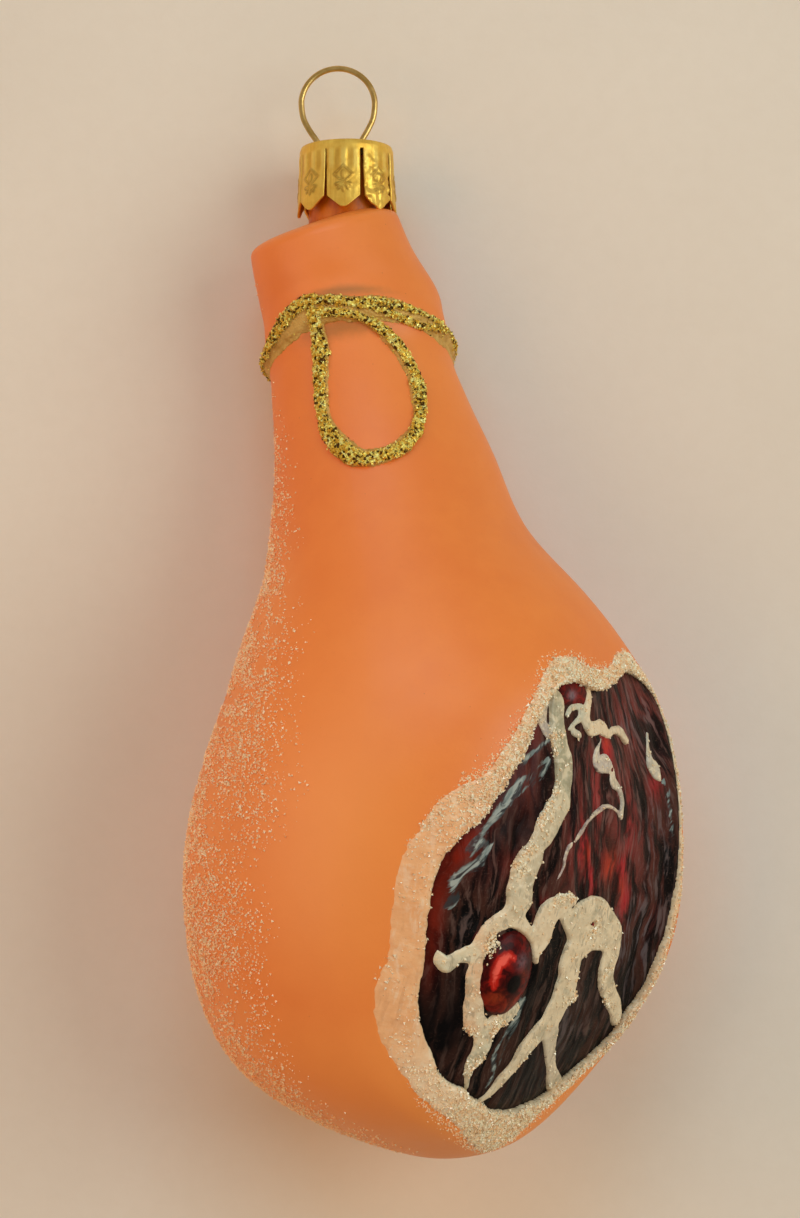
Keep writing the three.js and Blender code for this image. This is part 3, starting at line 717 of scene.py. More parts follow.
def swell(u, w):
    """Soft rise of the glass under and beside the moulded cord."""
    s = band_offset(u, w)
    return 0.12 * np.exp(-((s / 2.3) ** 2)) - 0.12 * np.exp(-(((s - 3.6) / 1.5) ** 2)) - 0.10 * np.exp(-(((s + 3.6) / 1.5) ** 2))


def dust_density(u, w):
    """Share of the pale dusting on the left flank, by arc position and angle round the leg."""
    start = np.interp(u, [0, 12, 30, 50, 60, 75, 90, 104, 116], [108, 122, 134, 132, 128, 134, 138, 146, 166])
    deg = np.degrees(w % (2 * math.pi))
    across = ramp(deg, start - 8, start + 26) * (1 - ramp(deg, 205, 240))
    down = ramp(u, 4, 18) * (1 - 0.93 * ramp(u, 84, 108))
    return across * down


leg_mat, fat_mat, marble_mat, meat_mat = make_skin(), make_fat("fat_paint", False), make_fat("marbling_paint", True), make_meat()
bone_mat, gold_mat, flake_mat, dust_mat, crystal_mat = make_bone(), make_gold(), make_flake_gold(), make_dust(), make_crystal()

AROUND = 288
arcs = np.concatenate([[0.02, 0.25], np.arange(0.6, 100, 0.6), np.arange(100, SHANK_END - 0.1, 0.5), [SHANK_END]])
turn = np.arange(AROUND) * (2 * math.pi / AROUND)
UU, WW = np.meshgrid(arcs, turn, indexing="ij")
plain = skin(UU, WW, swell(UU, WW))
body = np.where(UU[..., None] < 105, cut_leg(plain, spine(UU), 1.5), plain)
k = 0.5
h = np.maximum(k - np.abs(body[..., 2]), 0.0) / k
body[..., 2] = np.maximum(body[..., 2], 0.0) + h * h * k * 0.25 * (body[..., 2] > 0.02)

# the face of the cut as heights over its own plane
whole = body.reshape(-1, 3)
tree = BVHTree.FromPolygons([tuple(p) for p in whole], [tuple(f) for f in ring_faces(len(arcs), AROUND).tolist()])
BASE_STEP = 0.25
bu, bv = np.arange(-26, 27.01, BASE_STEP), np.arange(-35, 34.01, BASE_STEP)
base = np.full((len(bu), len(bv)), np.nan)
down = Vector(-CUT_N)
for i, a in enumerate(bu):
    for j, b in enumerate(bv):
        hit = tree.ray_cast(Vector(CUT_POINT + CUT_U * a + CUT_V * b + CUT_N * 30), down)
        if hit[0] is not None:
            base[i, j] = 30 - hit[3]
good = np.isfinite(base) & (base > -14)
base = np.where(good, base, 0.0)
base = blurred(base, good, 2)
for _ in range(40):
    spread = good.copy()
    for axis in (0, 1):
        for d in (1, -1):
            spread |= np.roll(good, d, axis)
    if spread.all():
        break
    # carries the side of the leg on outward, so that an edge has something to be read from
    total, count = np.zeros(base.shape), np.zeros(base.shape)
    for axis in (0, 1):
        for d in (1, -1):
            g1, g2 = np.roll(good, d, axis), np.roll(good, 2 * d, axis)
            a1, a2 = np.roll(base, d, axis), np.roll(base, 2 * d, axis)
            use = g1 & g2
            total += np.where(use, 2 * a1 - a2, 0)
            count += use
    new = spread & ~good & (count > 0)
    base[new] = (total / np.maximum(count, 1))[new]
    good = good | new
    if not new.any():
        break


def over_plane(u, v):
    """Height of the leg's surface over the cut's plane, by cubic interpolation."""
    x, y = (u - bu[0]) / BASE_STEP, (v - bv[0]) / BASE_STEP
    i, j = np.clip(np.floor(x).astype(int), 1, len(bu) - 3), np.clip(np.floor(y).astype(int), 1, len(bv) - 3)
    fx_, fy_ = x - i, y - j
    out = 0.0
    weight = lambda t: [-0.5 * t + t * t - 0.5 * t ** 3, 1 - 2.5 * t * t + 1.5 * t ** 3, 0.5 * t + 2 * t * t - 1.5 * t ** 3, -0.5 * t * t + 0.5 * t ** 3]
    wx, wy = weight(fx_), weight(fy_)
    for a in range(4):
        for b in range(4):
            out = out + wx[a] * wy[b] * base[i + a - 1, j + b - 1]
    return out


def on_face(u, v, height):
    """Point at a height over the leg's surface at a place on the cut's plane."""
    return CUT_POINT + u[..., None] * CUT_U + v[..., None] * CUT_V + (over_plane(u, v) + height)[..., None] * CUT_N


# ================================================================ outlines on the cut face, in millimetres along and up it
FOOT = np.array([(-17.73, 5.24), (-17.1, 6.41), (-16.43, 7.52), (-15.57, 8.75), (-14.64, 9.53), (-13.84, 10.61), (-13.25, 11.8), (-12.42, 13.0),
                 (-11.48, 14.6), (-10.68, 15.9), (-9.7, 17.12), (-9.13, 18.25), (-8.52, 19.37), (-8.16, 20.37), (-7.54, 21.15), (-6.68, 22.26),
                 (-5.95, 23.15), (-5.09, 24.02), (-4.1, 24.72), (-2.83, 25.14), (-0.42, 25.15), (1.7, 24.58), (3.09, 24.2), (5.14, 24.13), (7.24, 24.38),
                 (9.34, 24.95), (11.95, 25.76), (14.58, 25.11), (16.42, 24.23), (17.6, 23.3), (18.4, 22.2), (18.95, 20.9), (19.35, 19.3), (19.6, 17.6),
                 (19.75, 16.0), (19.85, 13.5), (19.85, 10.8), (19.7, 7.5), (19.45, 4.0), (19.05, 0.5), (18.6, -2.3), (18.15, -4.98), (17.5, -7.72),
                 (17.01, -9.73), (16.32, -11.74), (15.11, -13.6), (14.25, -15.87), (12.86, -17.6), (11.12, -19.29), (9.2, -20.68), (7.53, -21.82),
                 (5.7, -23.34), (4.08, -24.05), (1.94, -24.55), (-0.28, -24.89), (-2.76, -24.8), (-5.25, -24.18), (-7.47, -23.03), (-9.18, -22.24),
                 (-10.28, -21.3), (-11.85, -20.76), (-13.33, -19.97), (-14.52, -18.97), (-15.4, -17.26), (-16.36, -15.85), (-17.33, -13.99),
                 (-17.98, -11.89), (-18.24, -9.92), (-18.3, -7.56), (-18.41, -5.24), (-18.5, -3.16), (-18.57, -1.1), (-18.5, 0.96), (-18.28, 3.04)])
RIM = np.array([(-20.34, 7.79), (-19.57, 9.76), (-18.44, 11.95), (-17.28, 13.03), (-16.22, 14.07), (-14.94, 14.69), (-13.94, 15.68), (-13.06, 16.97),
                (-11.62, 18.94), (-9.97, 21.22), (-8.33, 23.45), (-6.73, 25.42), (-5.32, 26.94), (-3.68, 28.02), (-1.26, 28.44), (0.39, 28.05),
                (2.24, 27.23), (4.54, 26.85), (7.16, 26.78), (8.53, 27.26), (10.14, 28.05), (12.69, 28.33), (14.4, 27.9), (16.0, 26.8), (17.6, 25.2),
                (19.0, 23.1), (20.0, 20.5), (20.4, 17.5), (20.65, 14.5), (20.75, 11.5), (20.75, 7.7), (20.75, 3.7), (20.6, 0.0), (20.2, -3.7),
                (19.5, -7.3), (18.4, -11.0), (16.8, -14.7), (14.6, -17.9), (11.3, -20.9), (7.9, -23.9), (4.2, -27.2), (1.3, -29.7), (-0.87, -31.05),
                (-3.47, -30.25), (-6.15, -28.96), (-8.9, -26.96), (-11.09, -25.49), (-14.08, -23.63), (-16.09, -22.17), (-17.82, -20.29),
                (-19.75, -18.06), (-21.05, -15.84), (-21.89, -13.35), (-22.27, -10.56), (-22.1, -8.0), (-21.75, -5.63), (-21.86, -2.43), (-21.81, 0.3),
                (-21.6, 3.27), (-21.06, 6.07)])
foot_line, rim_line = spline(FOOT, 0.5, True), spline(RIM, 0.5, True)

# brush strokes: place along and up the face, half width; then height over the meat, colour, and how thin the paint is
STROKES = {
    "main_top": ([(-3.97, 24.28, 0.43), (-3.87, 23.29, 1.0), (-4.23, 21.09, 1.06), (-4.02, 18.87, 1.3), (-3.58, 17.08, 1.32), (-3.57, 15.29, 1.34), (-3.71, 13.72, 1.3),
                  (-4.18, 12.15, 1.5)], 0.36, (150, 152, 118), 0.1),
    "main": ([(-4.18, 12.15, 1.5), (-5.71, 10.35, 1.7), (-6.47, 8.77, 1.55), (-7.48, 7.45, 1.25), (-8.07, 5.86, 1.63), (-8.81, 4.36, 1.61), (-9.09, 2.74, 1.62),
              (-8.99, 1.11, 1.62), (-9.42, -0.01, 1.37)], 0.36, (206, 190, 152), 0),
    "ring_top": ([(-12.63, -3.3, 0.74), (-12.1, -2.22, 0.94), (-11.04, -1.25, 1.14), (-10.09, -0.88, 1.11), (-8.7, -1.23, 0.91), (-7.44, -2.19, 0.61),
                  (-6.68, -3.39, 0.24)], 0.36, (236, 212, 170), 0),
    "ring_left": ([(-12.26, -2.7, 0.74), (-12.68, -3.66, 0.91), (-13.01, -4.85, 0.74), (-13.07, -6.04, 0.72), (-13.02, -7.47, 1.02), (-12.79, -9.14, 0.93),
                   (-12.26, -11.55, 1.0), (-11.81, -13.36, 0.97), (-10.99, -13.6, 1.0)], 0.4, (242, 188, 138), 0),
    "hook": ([(-12.45, -10.92, 0.95), (-11.41, -12.99, 1.0), (-9.93, -13.99, 0.99), (-8.7, -13.04, 0.95), (-7.47, -12.34, 0.91), (-6.66, -11.64, 0.68),
              (-6.57, -11.02, 0.33)], 0.34, (214, 206, 170), 0),
    "left_branch": ([(-17.2, -5.0, 0.12), (-16.8, -5.9, 0.72), (-16.2, -6.5, 0.92), (-15.53, -5.75, 0.69), (-14.55, -5.28, 0.9), (-13.38, -4.98, 1.09)], 0.36, (216, 210, 172), 0),
    "lower_left": ([(-9.84, -14.62, 1.16), (-9.86, -16.62, 1.15), (-10.39, -17.86, 1.01), (-10.55, -19.12, 0.59), (-10.12, -20.4, 0.38), (-9.83, -21.57, 0.2)], 0.32, (200, 196, 162), 0),
    "right_lobe": ([(-5.04, -6.1, 0.22), (-5.38, -4.88, 0.65), (-5.04, -2.98, 1.5), (-4.84, -1.32, 1.68), (-3.95, 0.06, 1.57), (-2.43, 0.82, 1.13), (-0.83, 0.85, 0.73)], 0.36, (238, 212, 170), 0),
    "crook": ([(-2.2, -0.25, 0.73), (-0.29, -1.33, 1.29), (1.89, -0.78, 1.64), (4.23, -0.48, 1.46), (6.78, -2.15, 1.58), (8.39, -4.0, 1.72), (8.88, -6.02, 1.61),
               (8.72, -7.76, 1.5), (9.27, -9.57, 1.25), (10.6, -11.23, 1.2), (12.37, -12.94, 1.12), (13.48, -14.47, 0.9), (13.7, -15.28, 0.37)], 0.36, (228, 208, 168), 0),
    "crook_fill": ([(-0.98, -1.52, 1.02), (2.41, -3.96, 1.31), (4.93, -4.18, 1.32), (7.16, -4.63, 1.07)], 0.34, (226, 206, 166), 0),
    "left_leg": ([(2.93, -4.26, 1.93), (1.44, -5.11, 1.99), (0.98, -6.54, 1.95), (1.24, -8.04, 1.85), (1.31, -9.54, 1.8), (1.19, -10.91, 1.6), (0.57, -12.74, 1.7)], 0.36, (236, 214, 172), 0),
    "lower_stroke": ([(1.0, -9.36, 1.9), (0.97, -11.11, 1.74), (0.43, -12.83, 1.8), (-0.61, -14.25, 1.6), (-1.53, -15.43, 1.38), (-2.64, -16.86, 1.2), (-3.33, -18.34, 1.02),
                      (-4.12, -19.55, 0.9), (-4.94, -20.64, 0.75), (-5.73, -21.74, 0.58), (-6.93, -22.94, 0.35)], 0.34, (226, 208, 168), 0),
    "stroke_lobe": ([(2.09, -9.71, 0.93), (2.94, -11.18, 0.77)], 0.34, (226, 212, 176), 0),
    "fork": ([(-0.11, -14.17, 0.79), (0.99, -15.18, 1.25), (1.79, -16.82, 1.1), (3.33, -19.11, 0.78), (4.47, -20.58, 0.82), (6.18, -22.29, 1.12), (7.09, -22.83, 0.7)], 0.3, (206, 194, 164), 0.15),
    "zigzag": ([(2.36, 24.11, 0.44), (2.15, 23.34, 0.64), (1.65, 22.26, 0.57), (1.15, 21.17, 0.77), (1.98, 20.02, 0.78), (4.28, 20.13, 0.88), (5.75, 19.27, 0.59),
                (7.04, 19.57, 0.45), (8.77, 19.43, 0.56), (9.86, 18.41, 0.48)], 0.34, (236, 208, 166), 0),
    "hook_n": ([(-2.39, 21.73, 0.2), (-1.51, 22.44, 0.38), (-0.17, 22.55, 0.48), (0.49, 22.04, 0.84), (-0.12, 21.33, 0.5), (-1.29, 20.77, 0.26), (-2.36, 20.18, 0.1)], 0.28, (196, 196, 168), 0.1),
    "blob": ([(-1.54, 19.83, 0.42), (-0.54, 19.46, 0.45)], 0.28, (186, 184, 158), 0.1),
    "grey_stroke": ([(4.1, 18.85, 0.19), (3.19, 17.73, 0.42), (3.13, 16.38, 0.99), (4.77, 16.02, 1.1), (5.96, 15.31, 0.74), (6.17, 14.05, 0.67), (7.5, 13.05, 0.56),
                     (8.13, 11.74, 0.41), (7.88, 10.1, 0.32)], 0.22, (180, 170, 160), 0.3),
    "arc": ([(7.88, 9.91, 0.24), (6.6, 10.88, 0.26), (4.71, 11.28, 0.27), (2.98, 10.82, 0.3), (0.96, 9.9, 0.31), (-0.15, 8.81, 0.33), (-1.55, 7.72, 0.3), (-2.53, 6.84, 0.3),
             (-2.92, 5.75, 0.3), (-2.99, 4.96, 0.28), (-3.66, 3.75, 0.22), (-4.23, 3.14, 0.12)], 0.18, (156, 136, 136), 0.45),
    "leaf": ([(15.31, 18.78, 0.16), (15.02, 17.48, 0.35), (15.17, 15.66, 0.74), (16.09, 14.7, 0.93), (16.93, 13.51, 0.26)], 0.2, (184, 178, 160), 0.3),
    "lobe_left": ([(-5.37, 23.18, 0.26), (-6.12, 22.3, 0.55), (-6.45, 21.2, 0.67), (-6.1, 19.99, 0.56), (-5.91, 19.33, 0.16)], 0.2, (164, 154, 146), 0.35),
}
# paint so thin that it has no height
SMEARS = [
    [(17.27, 13.45, 0.16), (17.73, 12.97, 0.16), (17.89, 11.81, 0.16), (18.22, 9.0, 0.16), (18.43, 7.12, 0.12)],
    [(-5.42, -10.41, 0.1), (-5.53, -11.89, 0.13), (-5.94, -13.36, 0.12), (-7.07, -15.3, 0.13), (-7.5, -17.3, 0.14), (-6.83, -18.88, 0.16), (-6.63, -20.7, 0.18), (-7.08, -21.44, 0.1)],
    [(-5.34, 19.28, 0.12), (-7.25, 18.16, 0.2), (-8.72, 17.03, 0.2), (-9.8, 16.1, 0.12)],
    [(-6.03, -10.57, 0.06), (-5.6, -12.6, 0.1), (-5.6, -14.26, 0.1), (-6.17, -16.7, 0.08), (-6.1, -18.8, 0.04)],
    [(-6.07, 16.79, 0.4), (-7.06, 15.83, 0.6), (-8.36, 14.81, 0.64), (-9.83, 13.83, 0.62), (-10.83, 12.94, 0.56), (-11.72, 12.0, 0.48), (-12.61, 10.6, 0.4), (-13.28, 9.54, 0.25), (-13.9, 8.4, 0.3)],
    [(-14.07, 8.24, 0.2), (-14.45, 7.48, 0.5), (-14.97, 6.46, 0.42), (-15.18, 5.87, 0.2)],
    [(-13.18, 7.36, 0.2), (-13.39, 6.43, 0.46), (-13.92, 5.48, 0.6), (-15.1, 4.59, 0.5), (-15.99, 3.88, 0.4), (-16.41, 2.74, 0.32), (-16.61, 1.34, 0.28), (-16.8, 0.06, 0.2)],
    [(-16.67, -0.18, 0.1), (-16.4, 0.22, 0.16), (-16.05, 1.06, 0.14), (-15.93, 1.92, 0.08)],
]


def blob(U, V, spots):
    """Soft round or oval spots of (place along, place up, half width, half height, strength)."""
    out = np.zeros(U.shape)
    for u, v, a, b, s in spots:
        out = np.maximum(out, s * np.exp(-(((U - u) / a) ** 2 + ((V - v) / b) ** 2)))
    return out


def face_grid(step, margin):
    u = np.arange(rim_line[:, 0].min() - margin, rim_line[:, 0].max() + margin, step)
    v = np.arange(rim_line[:, 1].min() - margin, rim_line[:, 1].max() + margin, step)
    return np.meshgrid(u, v, indexing="ij")


def cells_of(keep):
    return keep[:-1, :-1] & keep[1:, :-1] & keep[1:, 1:] & keep[:-1, 1:]


# ================================================================ the pieces of the leg
inside_rim = outline_distance((body - CUT_POINT) @ CUT_U, (body - CUT_POINT) @ CUT_V, rim_line[::2])
near_face = ramp(above_cut(body), -4.0, -2.0)
sunk = body - CUT_N * (1.6 * ramp(inside_rim, 0.5, 1.6) * near_face)[..., None]

end_normal = unit(np.array([-math.sin(math.radians(16)), math.cos(math.radians(16)), -0.12]))
neck_x = unit(np.array([1.0, 0, 0]) - NECK_DIR * NECK_DIR[0])
neck_z = np.cross(neck_x, NECK_DIR)
edge_ring = skin(SHANK_END, turn, swell(SHANK_END, turn))
neck_foot = NECK_BASE + NECK_R * (np.cos(turn)[:, None] * neck_x + np.sin(turn)[:, None] * neck_z)
edge_middle = edge_ring.mean(0)
neck_foot = neck_foot - end_normal * ((neck_foot - edge_middle) @ end_normal)[:, None]
shoulder = []
for draw, rise in [(0.004, 0.1), (0.02, 0.35), (0.045, 0.6), (0.08, 0.8), (0.13, 0.99), (0.2, 1.15), (0.3, 1.27), (0.5, 1.4), (0.7, 1.47), (0.84, 1.5), (1.06, 1.5), (1.3, 1.4)]:
    shoulder.append(edge_ring + (neck_foot - edge_ring) * draw + end_normal * rise)
rings = np.concatenate([sunk, np.array(shoulder)])
tip, crown = skin(0.0, 0.0), np.array(shoulder[-1]).mean(0)
P = np.concatenate([rings.reshape(-1, 3), [tip, crown]])
n = len(rings)
j = np.arange(AROUND)
jn = (j + 1) % AROUND
quads = ring_faces(n, AROUND)
fans = np.concatenate([np.stack([np.full(AROUND, n * AROUND), j, jn], -1), np.stack([np.full(AROUND, n * AROUND + 1), (n - 1) * AROUND + jn, (n - 1) * AROUND + j], -1)])
u_of = np.concatenate([np.repeat(arcs, AROUND), np.full(len(shoulder) * AROUND, SHANK_END), [0, SHANK_END]])
w_of = np.concatenate([np.tile(turn, n), [0, 0]])
s_of = band_offset(u_of, w_of)
front = np.clip(np.sin(w_of), 0, 1)
# gold overspray below the cord, and a painted shadow line along its upper edge
gilt_and_shadow = 0.8 * np.exp(-((s_of + 2.4) / 1.4) ** 2) * front * np.exp(-((np.degrees(w_of) - 100) / 34) ** 2) + 0.85 * np.exp(-((s_of - 1.7) / 0.7) ** 2) * front * np.exp(-((np.degrees(w_of) - 96) / 36) ** 2)
px_, py_ = seen_from_above(P)
# painted light: a soft lighter patch on the top of the belly, and the bottom end lighter
painted_light = np.exp(-((px_ + 7.0) / 13.0) ** 2 - ((py_ + 30.0) / 22.0) ** 2) * (P[:, 2] > 20)
painted_light = np.maximum(painted_light, 0.95 * ramp(-py_, 38, 54) * (P[:, 2] > 6))
leg = mesh_piece("lacquered_leg", P, [quads, fans], leg_mat,
                 values={"haze": 0.85 * dust_density(u_of, w_of), "gilt_and_shadow": gilt_and_shadow, "painted_light": painted_light})
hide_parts("glass_leg")
print("leg", len(leg.data.polygons))

# ---------------------------------------------------------------- meat
U, V = face_grid(0.24, 0.4)
inner = outline_distance(U, V, foot_line)
UV = np.stack([U, V], -1)
fibre_across = U + 0.9 * noise(np.stack([U, V * 0.5], -1), 3.6, 3) + 0.4 * noise(np.stack([U, V * 0.5], -1), 1.5, 4) + 0.5 * (V - 10) * ramp(U, 5, 14) * ramp(V, 8, 18) + 0.12 * noise(UV, 0.9, 8)
threads = np.stack([fibre_across, V * 0.2], -1)
relief = 0.07 * noise(threads, 0.6, 5, 2) + 0.10 * noise(threads, 1.4, 6) + 0.10 * noise(UV, 3.2, 7)


def by_direction(U, V, table):
    """A value by direction from the middle of the face, from (degrees, value) pairs."""
    a, b = np.array(table, float).T
    return np.interp(np.degrees(np.arctan2(V, U)) % 360, np.concatenate([a, [a[0] + 360]]), np.concatenate([b, [b[0]]]))


DIP = [(0, 0.32), (22, 0.18), (50, 0.15), (58, 0.35), (68, 0.6), (300, 0.6), (330, 0.48), (350, 0.36)]
dip = 0.6 + (by_direction(U, V, DIP) - 0.6) * ramp(inner, 3.2, 0.3)
level = -dip + relief * ramp(inner, -0.2, 0.9) * ramp(dip, 0.1, 0.5) - 0.10 * ramp(inner, 1.2, 0.0) * (dip > 0.5)
left_side = ramp(-U, 8, 17) * ramp(V, -20, -8)
values = {
    "brush": np.stack([U * 0.6 + V * 0.8, U * 0.8 - V * 0.6, 0 * U], -1),
    "face": np.stack([U, V, level], -1), "fibre": np.stack([fibre_across, V, 0 * U], -1),
    "red": blob(U, V, [(5.1, 17.4, 1.3, 1.9, 0.8), (15.7, 13.2, 1.4, 1.8, 0.5), (0.6, 7.0, 1.9, 2.3, 0.9), (0.2, 9.0, 1.0, 2.2, 0.5), (2.7, 3.7, 1.9, 2.4, 0.9), (8.8, 3.6, 1.3, 2.0, 0.9),
                      (10.0, 0.1, 1.5, 2.2, 0.7), (-5.6, -0.4, 0.9, 1.6, 0.5), (3.4, -2.3, 1.6, 0.8, 0.6), (-13.6, -3.9, 0.8, 1.4, 0.5), (2.2, 12.5, 2.6, 4.0, 0.35), (9.5, 8.5, 2.2, 4.0, 0.4)]),
    "ember": blob(U, V, [(6.0, 4.5, 1.2, 1.6, 0.9), (1.2, 6.2, 0.7, 1.2, 0.6), (9.0, 1.7, 0.8, 1.4, 0.6), (5.2, 18.2, 0.6, 0.9, 0.7)]),
    # mauve tissue toward the top and right, partly a painted sheen
    "mauve_and_sheen": np.clip(blob(U, V, [(12.5, 20.5, 6.5, 5.0, 0.9), (7.5, 13.5, 5.0, 7.0, 0.7), (2.6, 13.8, 3.8, 6.0, 0.6), (12.0, 5.0, 4.2, 9.0, 0.5), (1.0, 5.5, 4.5, 4.0, 0.6), (-10.5, 4.8, 3.0, 3.0, 0.3),
                              (15.8, -2.5, 2.2, 6.0, 0.35), (-2.0, 10.0, 3.0, 5.0, 0.35)]) + 0.10 * ramp(V, -2, 10), 0, 1),
    # painted sheen, mostly on the right of the face
    "painted_sheen": np.clip(blob(U, V, [(13.8, -5.5, 4.6, 8.0, 0.8), (15.5, 6.0, 3.0, 8.0, 0.55), (4.2, -15.5, 3.2, 4.0, 0.5), (12.6, 20.6, 4.5, 3.0, 0.5), (-13.5, -3.0, 2.0, 2.5, 0.3)]), 0, 1),
    "rust": np.clip(0.95 * left_side * ramp(inner, 2.4, 0.4) * ramp(V, -14, 0) + blob(U, V, [(-9.2, 16.0, 1.7, 5.0, 0.6), (-7.9, 20.0, 1.2, 2.6, 0.8), (-10.5, 5.4, 1.8, 1.2, 0.35), (-15.6, 6.6, 1.6, 2.0, 0.7)]), 0, 1),
    # near-black patches, and painted shade along the foot of the rim
    "dark_and_edge_shade": np.clip(blob(U, V, [(-15.2, -13.5, 4.5, 6.0, 0.95), (-4.5, -9.5, 2.6, 6.5, 0.75), (13.2, -10.5, 3.0, 5.0, 0.6), (-9.5, 10.0, 3.5, 4.5, 0.6), (-13.5, -8.5, 2.5, 3.5, 0.7), (-7.0, 14.5, 2.5, 3.5, 0.35),
                             (1.0, -20.0, 9.0, 5.0, 0.75), (7.0, -11.5, 2.5, 6.0, 0.4)]) + 0.6 * ramp(inner, 0.7, 0.0), 0, 1),
}
smear = np.zeros(U.shape)
for line in SMEARS:
    smear = np.maximum(smear, ramp(-stroke_distance(U, V, line), -0.6, 0.25))
values["smear"] = smear
keep = cells_of(inner > -0.6)
T, quads, used = slab(keep, on_face(U, V, level), on_face(U, V, np.full(U.shape, -1.2)))
mesh_piece("meat", T, quads, meat_mat, values={k: np.concatenate([v.reshape((-1,) + v.shape[2:])[used]] * 2) for k, v in values.items()})
print("meat", keep.sum())

# ---------------------------------------------------------------- rim of fat
U, V = face_grid(0.14, 0.4)
UV = np.stack([U, V], -1)
dI, dO = -outline_distance(U, V, foot_line), outline_distance(U, V, rim_line)
dI = dI + 0.10 * noise(UV, 0.9, 11) + 0.05 * noise(UV, 0.35, 12)
dO = dO + 0.12 * noise(UV, 1.0, 13) + 0.06 * noise(UV, 0.4, 14)


crest = by_direction(U, V, [(0, 0.10), (22, 0.06), (48, 0.06), (60, 0.25), (75, 0.38), (100, 0.42), (130, 0.36), (180, 0.30), (230, 0.34), (270, 0.42), (295, 0.34), (330, 0.2), (350, 0.12)])
dip = by_direction(U, V, DIP) + 0.02
grainy = np.clip(by_direction(U, V, [(0, 0.35), (45, 0.55), (75, 0.9), (120, 1.0), (140, 0.8), (165, 0.2), (205, 0.13), (222, 0.16), (240, 0.5), (262, 0.9), (300, 0.9), (330, 0.45)]) + 0.15 * noise(UV, 2.5, 15), 0, 1)
warm = np.clip(by_direction(U, V, [(0, 0.1), (60, 0.2), (90, 0.1), (125, 0.3), (150, 0.75), (180, 0.95), (215, 0.75), (245, 0.3), (275, 0.0), (330, 0.0)]) + 0.12 * noise(UV, 3.0, 16), 0, 1)
inner_width = 0.7 + 0.45 * ramp(-U, 4, 14) - 0.4 * ramp(crest, 0.3, 0.08)
t = np.clip(dI / inner_width, 0, 1)
face_in = -dip + (crest + dip) * np.sqrt(1 - (1 - t) ** 2)
s = np.clip((dI - inner_width) / np.maximum(dI + dO - inner_width, 0.4), 0, 1)
slope_out = 0.05 + (crest - 0.05) * (1 - s ** 1.6)
lumps = (0.05 + 0.05 * grainy) * noise(UV, 0.75, 17) + 0.07 * grainy * noise(UV, 0.34, 18) + 0.10 * noise(UV, 2.4, 19)
along_rim = noise(np.stack([(np.degrees(np.arctan2(V, U)) % 360) * 0.5, dI * 6.0], -1), 3.0, 21)
level = np.minimum(face_in, slope_out) + lumps * ramp(dO, 0.0, 0.5) * ramp(dI, 0.0, 0.35) + 0.03 * along_rim * (1 - grainy) - 0.34 * ramp(dO, 0.5, 0.0)
keep = cells_of((dI > -0.1) & (dO > -0.05))
# painted shade along the rim's inner lip, next to the meat
rim_values = {"face": np.stack([U, V, level], -1), "grain": grainy, "warm": warm, "lip_shade": ramp(dI, 0.6, 0.0),
              "pale": by_direction(U, V, [(0, 0.0), (220, 0.0), (231, 0.85), (250, 1.0), (275, 0.9), (292, 0.4), (304, 0.0)]),
              "dim": by_direction(U, V, [(0, 0.0), (300, 0.0), (313, 0.8), (328, 0.8), (345, 0.2), (352, 0.0)])}
T, quads, used = slab(keep, on_face(U, V, level), on_face(U, V, np.full(U.shape, -1.0)))
mesh_piece("fat_rim", T, quads, fat_mat, values={k: np.concatenate([v.reshape((-1,) + v.shape[2:])[used]] * 2) for k, v in rim_values.items()})
print("rim", keep.sum())
rim_grid = (U, V, level, keep, grainy, dI, dO)

# ---------------------------------------------------------------- marbling
sd, height, thin = np.full(U.shape, 9.0), np.zeros(U.shape), np.zeros(U.shape)
paint, total = np.zeros(U.shape + (3,)), np.full(U.shape, 1e-9)
for line, thick, colour, sheer in STROKES.values():
    d = stroke_distance(U, V, line)
    weight = np.exp(-np.clip(d + 1.2, 0, 8) * 3.5)
    total += weight
    height += weight * thick
    paint += weight[..., None] * np.array(linear(*colour)[:3])
    thin += weight * sheer
    sd = np.where(np.abs(sd - d) < 0.6, smin(sd, d, 0.6), np.minimum(sd, d))
height, thin, paint = height / total, thin / total, paint / total[..., None]
CLUSTERS = [(-11.6, -4.2, 1.1), (-3.0, 1.4, 0.9), (-1.5, 1.6, 0.7), (-12.3, -14.6, 0.9), (-8.6, -13.7, 1.1), (10.1, -12.4, 0.9), (3.1, -11.0, 0.6), (-9.7, -18.3, 1.1), (-2.7, -21.4, 1.0), (-1.4, -18.3, 0.8),
            (-5.4, 17.7, 0.6), (-5.3, 13.7, 0.7), (-6.8, 10.6, 1.0), (-9.2, 4.8, 0.9), (-8.4, 7.0, 0.9), (8.7, -8.3, 0.7), (-4.6, 19.5, 0.9), (0.6, -19.6, 0.6), (-6.2, 11.8, 0.8), (4.0, -3.2, 0.8)]
rough = blob(U, V, [(a, b, r * 1.2, r * 1.2, 1.0) for a, b, r in CLUSTERS])
ragged = 0.12 * noise(UV, 1.5, 31) + (0.04 + 0.14 * rough) * noise(UV, 0.5, 32) + 0.06 * rough * noise(UV, 0.28, 33)
sd = sd + ragged * ramp(-sd, -0.9, 0.2) + 0.02
body_of = np.sqrt(1 - (1 - np.clip(-sd / 0.3, 0, 1)) ** 2)
level = -0.60 + height * body_of + ((0.03 + 0.05 * rough) * noise(UV, 0.42, 34) + 0.09 * noise(UV, 1.2, 35)) * np.clip(-sd / 0.3, 0, 1) - 0.3 * ramp(sd, -0.02, 0.16)
keep = cells_of((sd < 0.16) & (dI < 0.25))
marble_values = {"face": np.stack([U, V, level], -1), "grain": np.clip(0.25 + 0.7 * rough, 0, 1), "paint": paint, "thin": np.clip(thin + 0.3 * ramp(-sd, 0.3, 0.0), 0, 1)}
marble_level = level
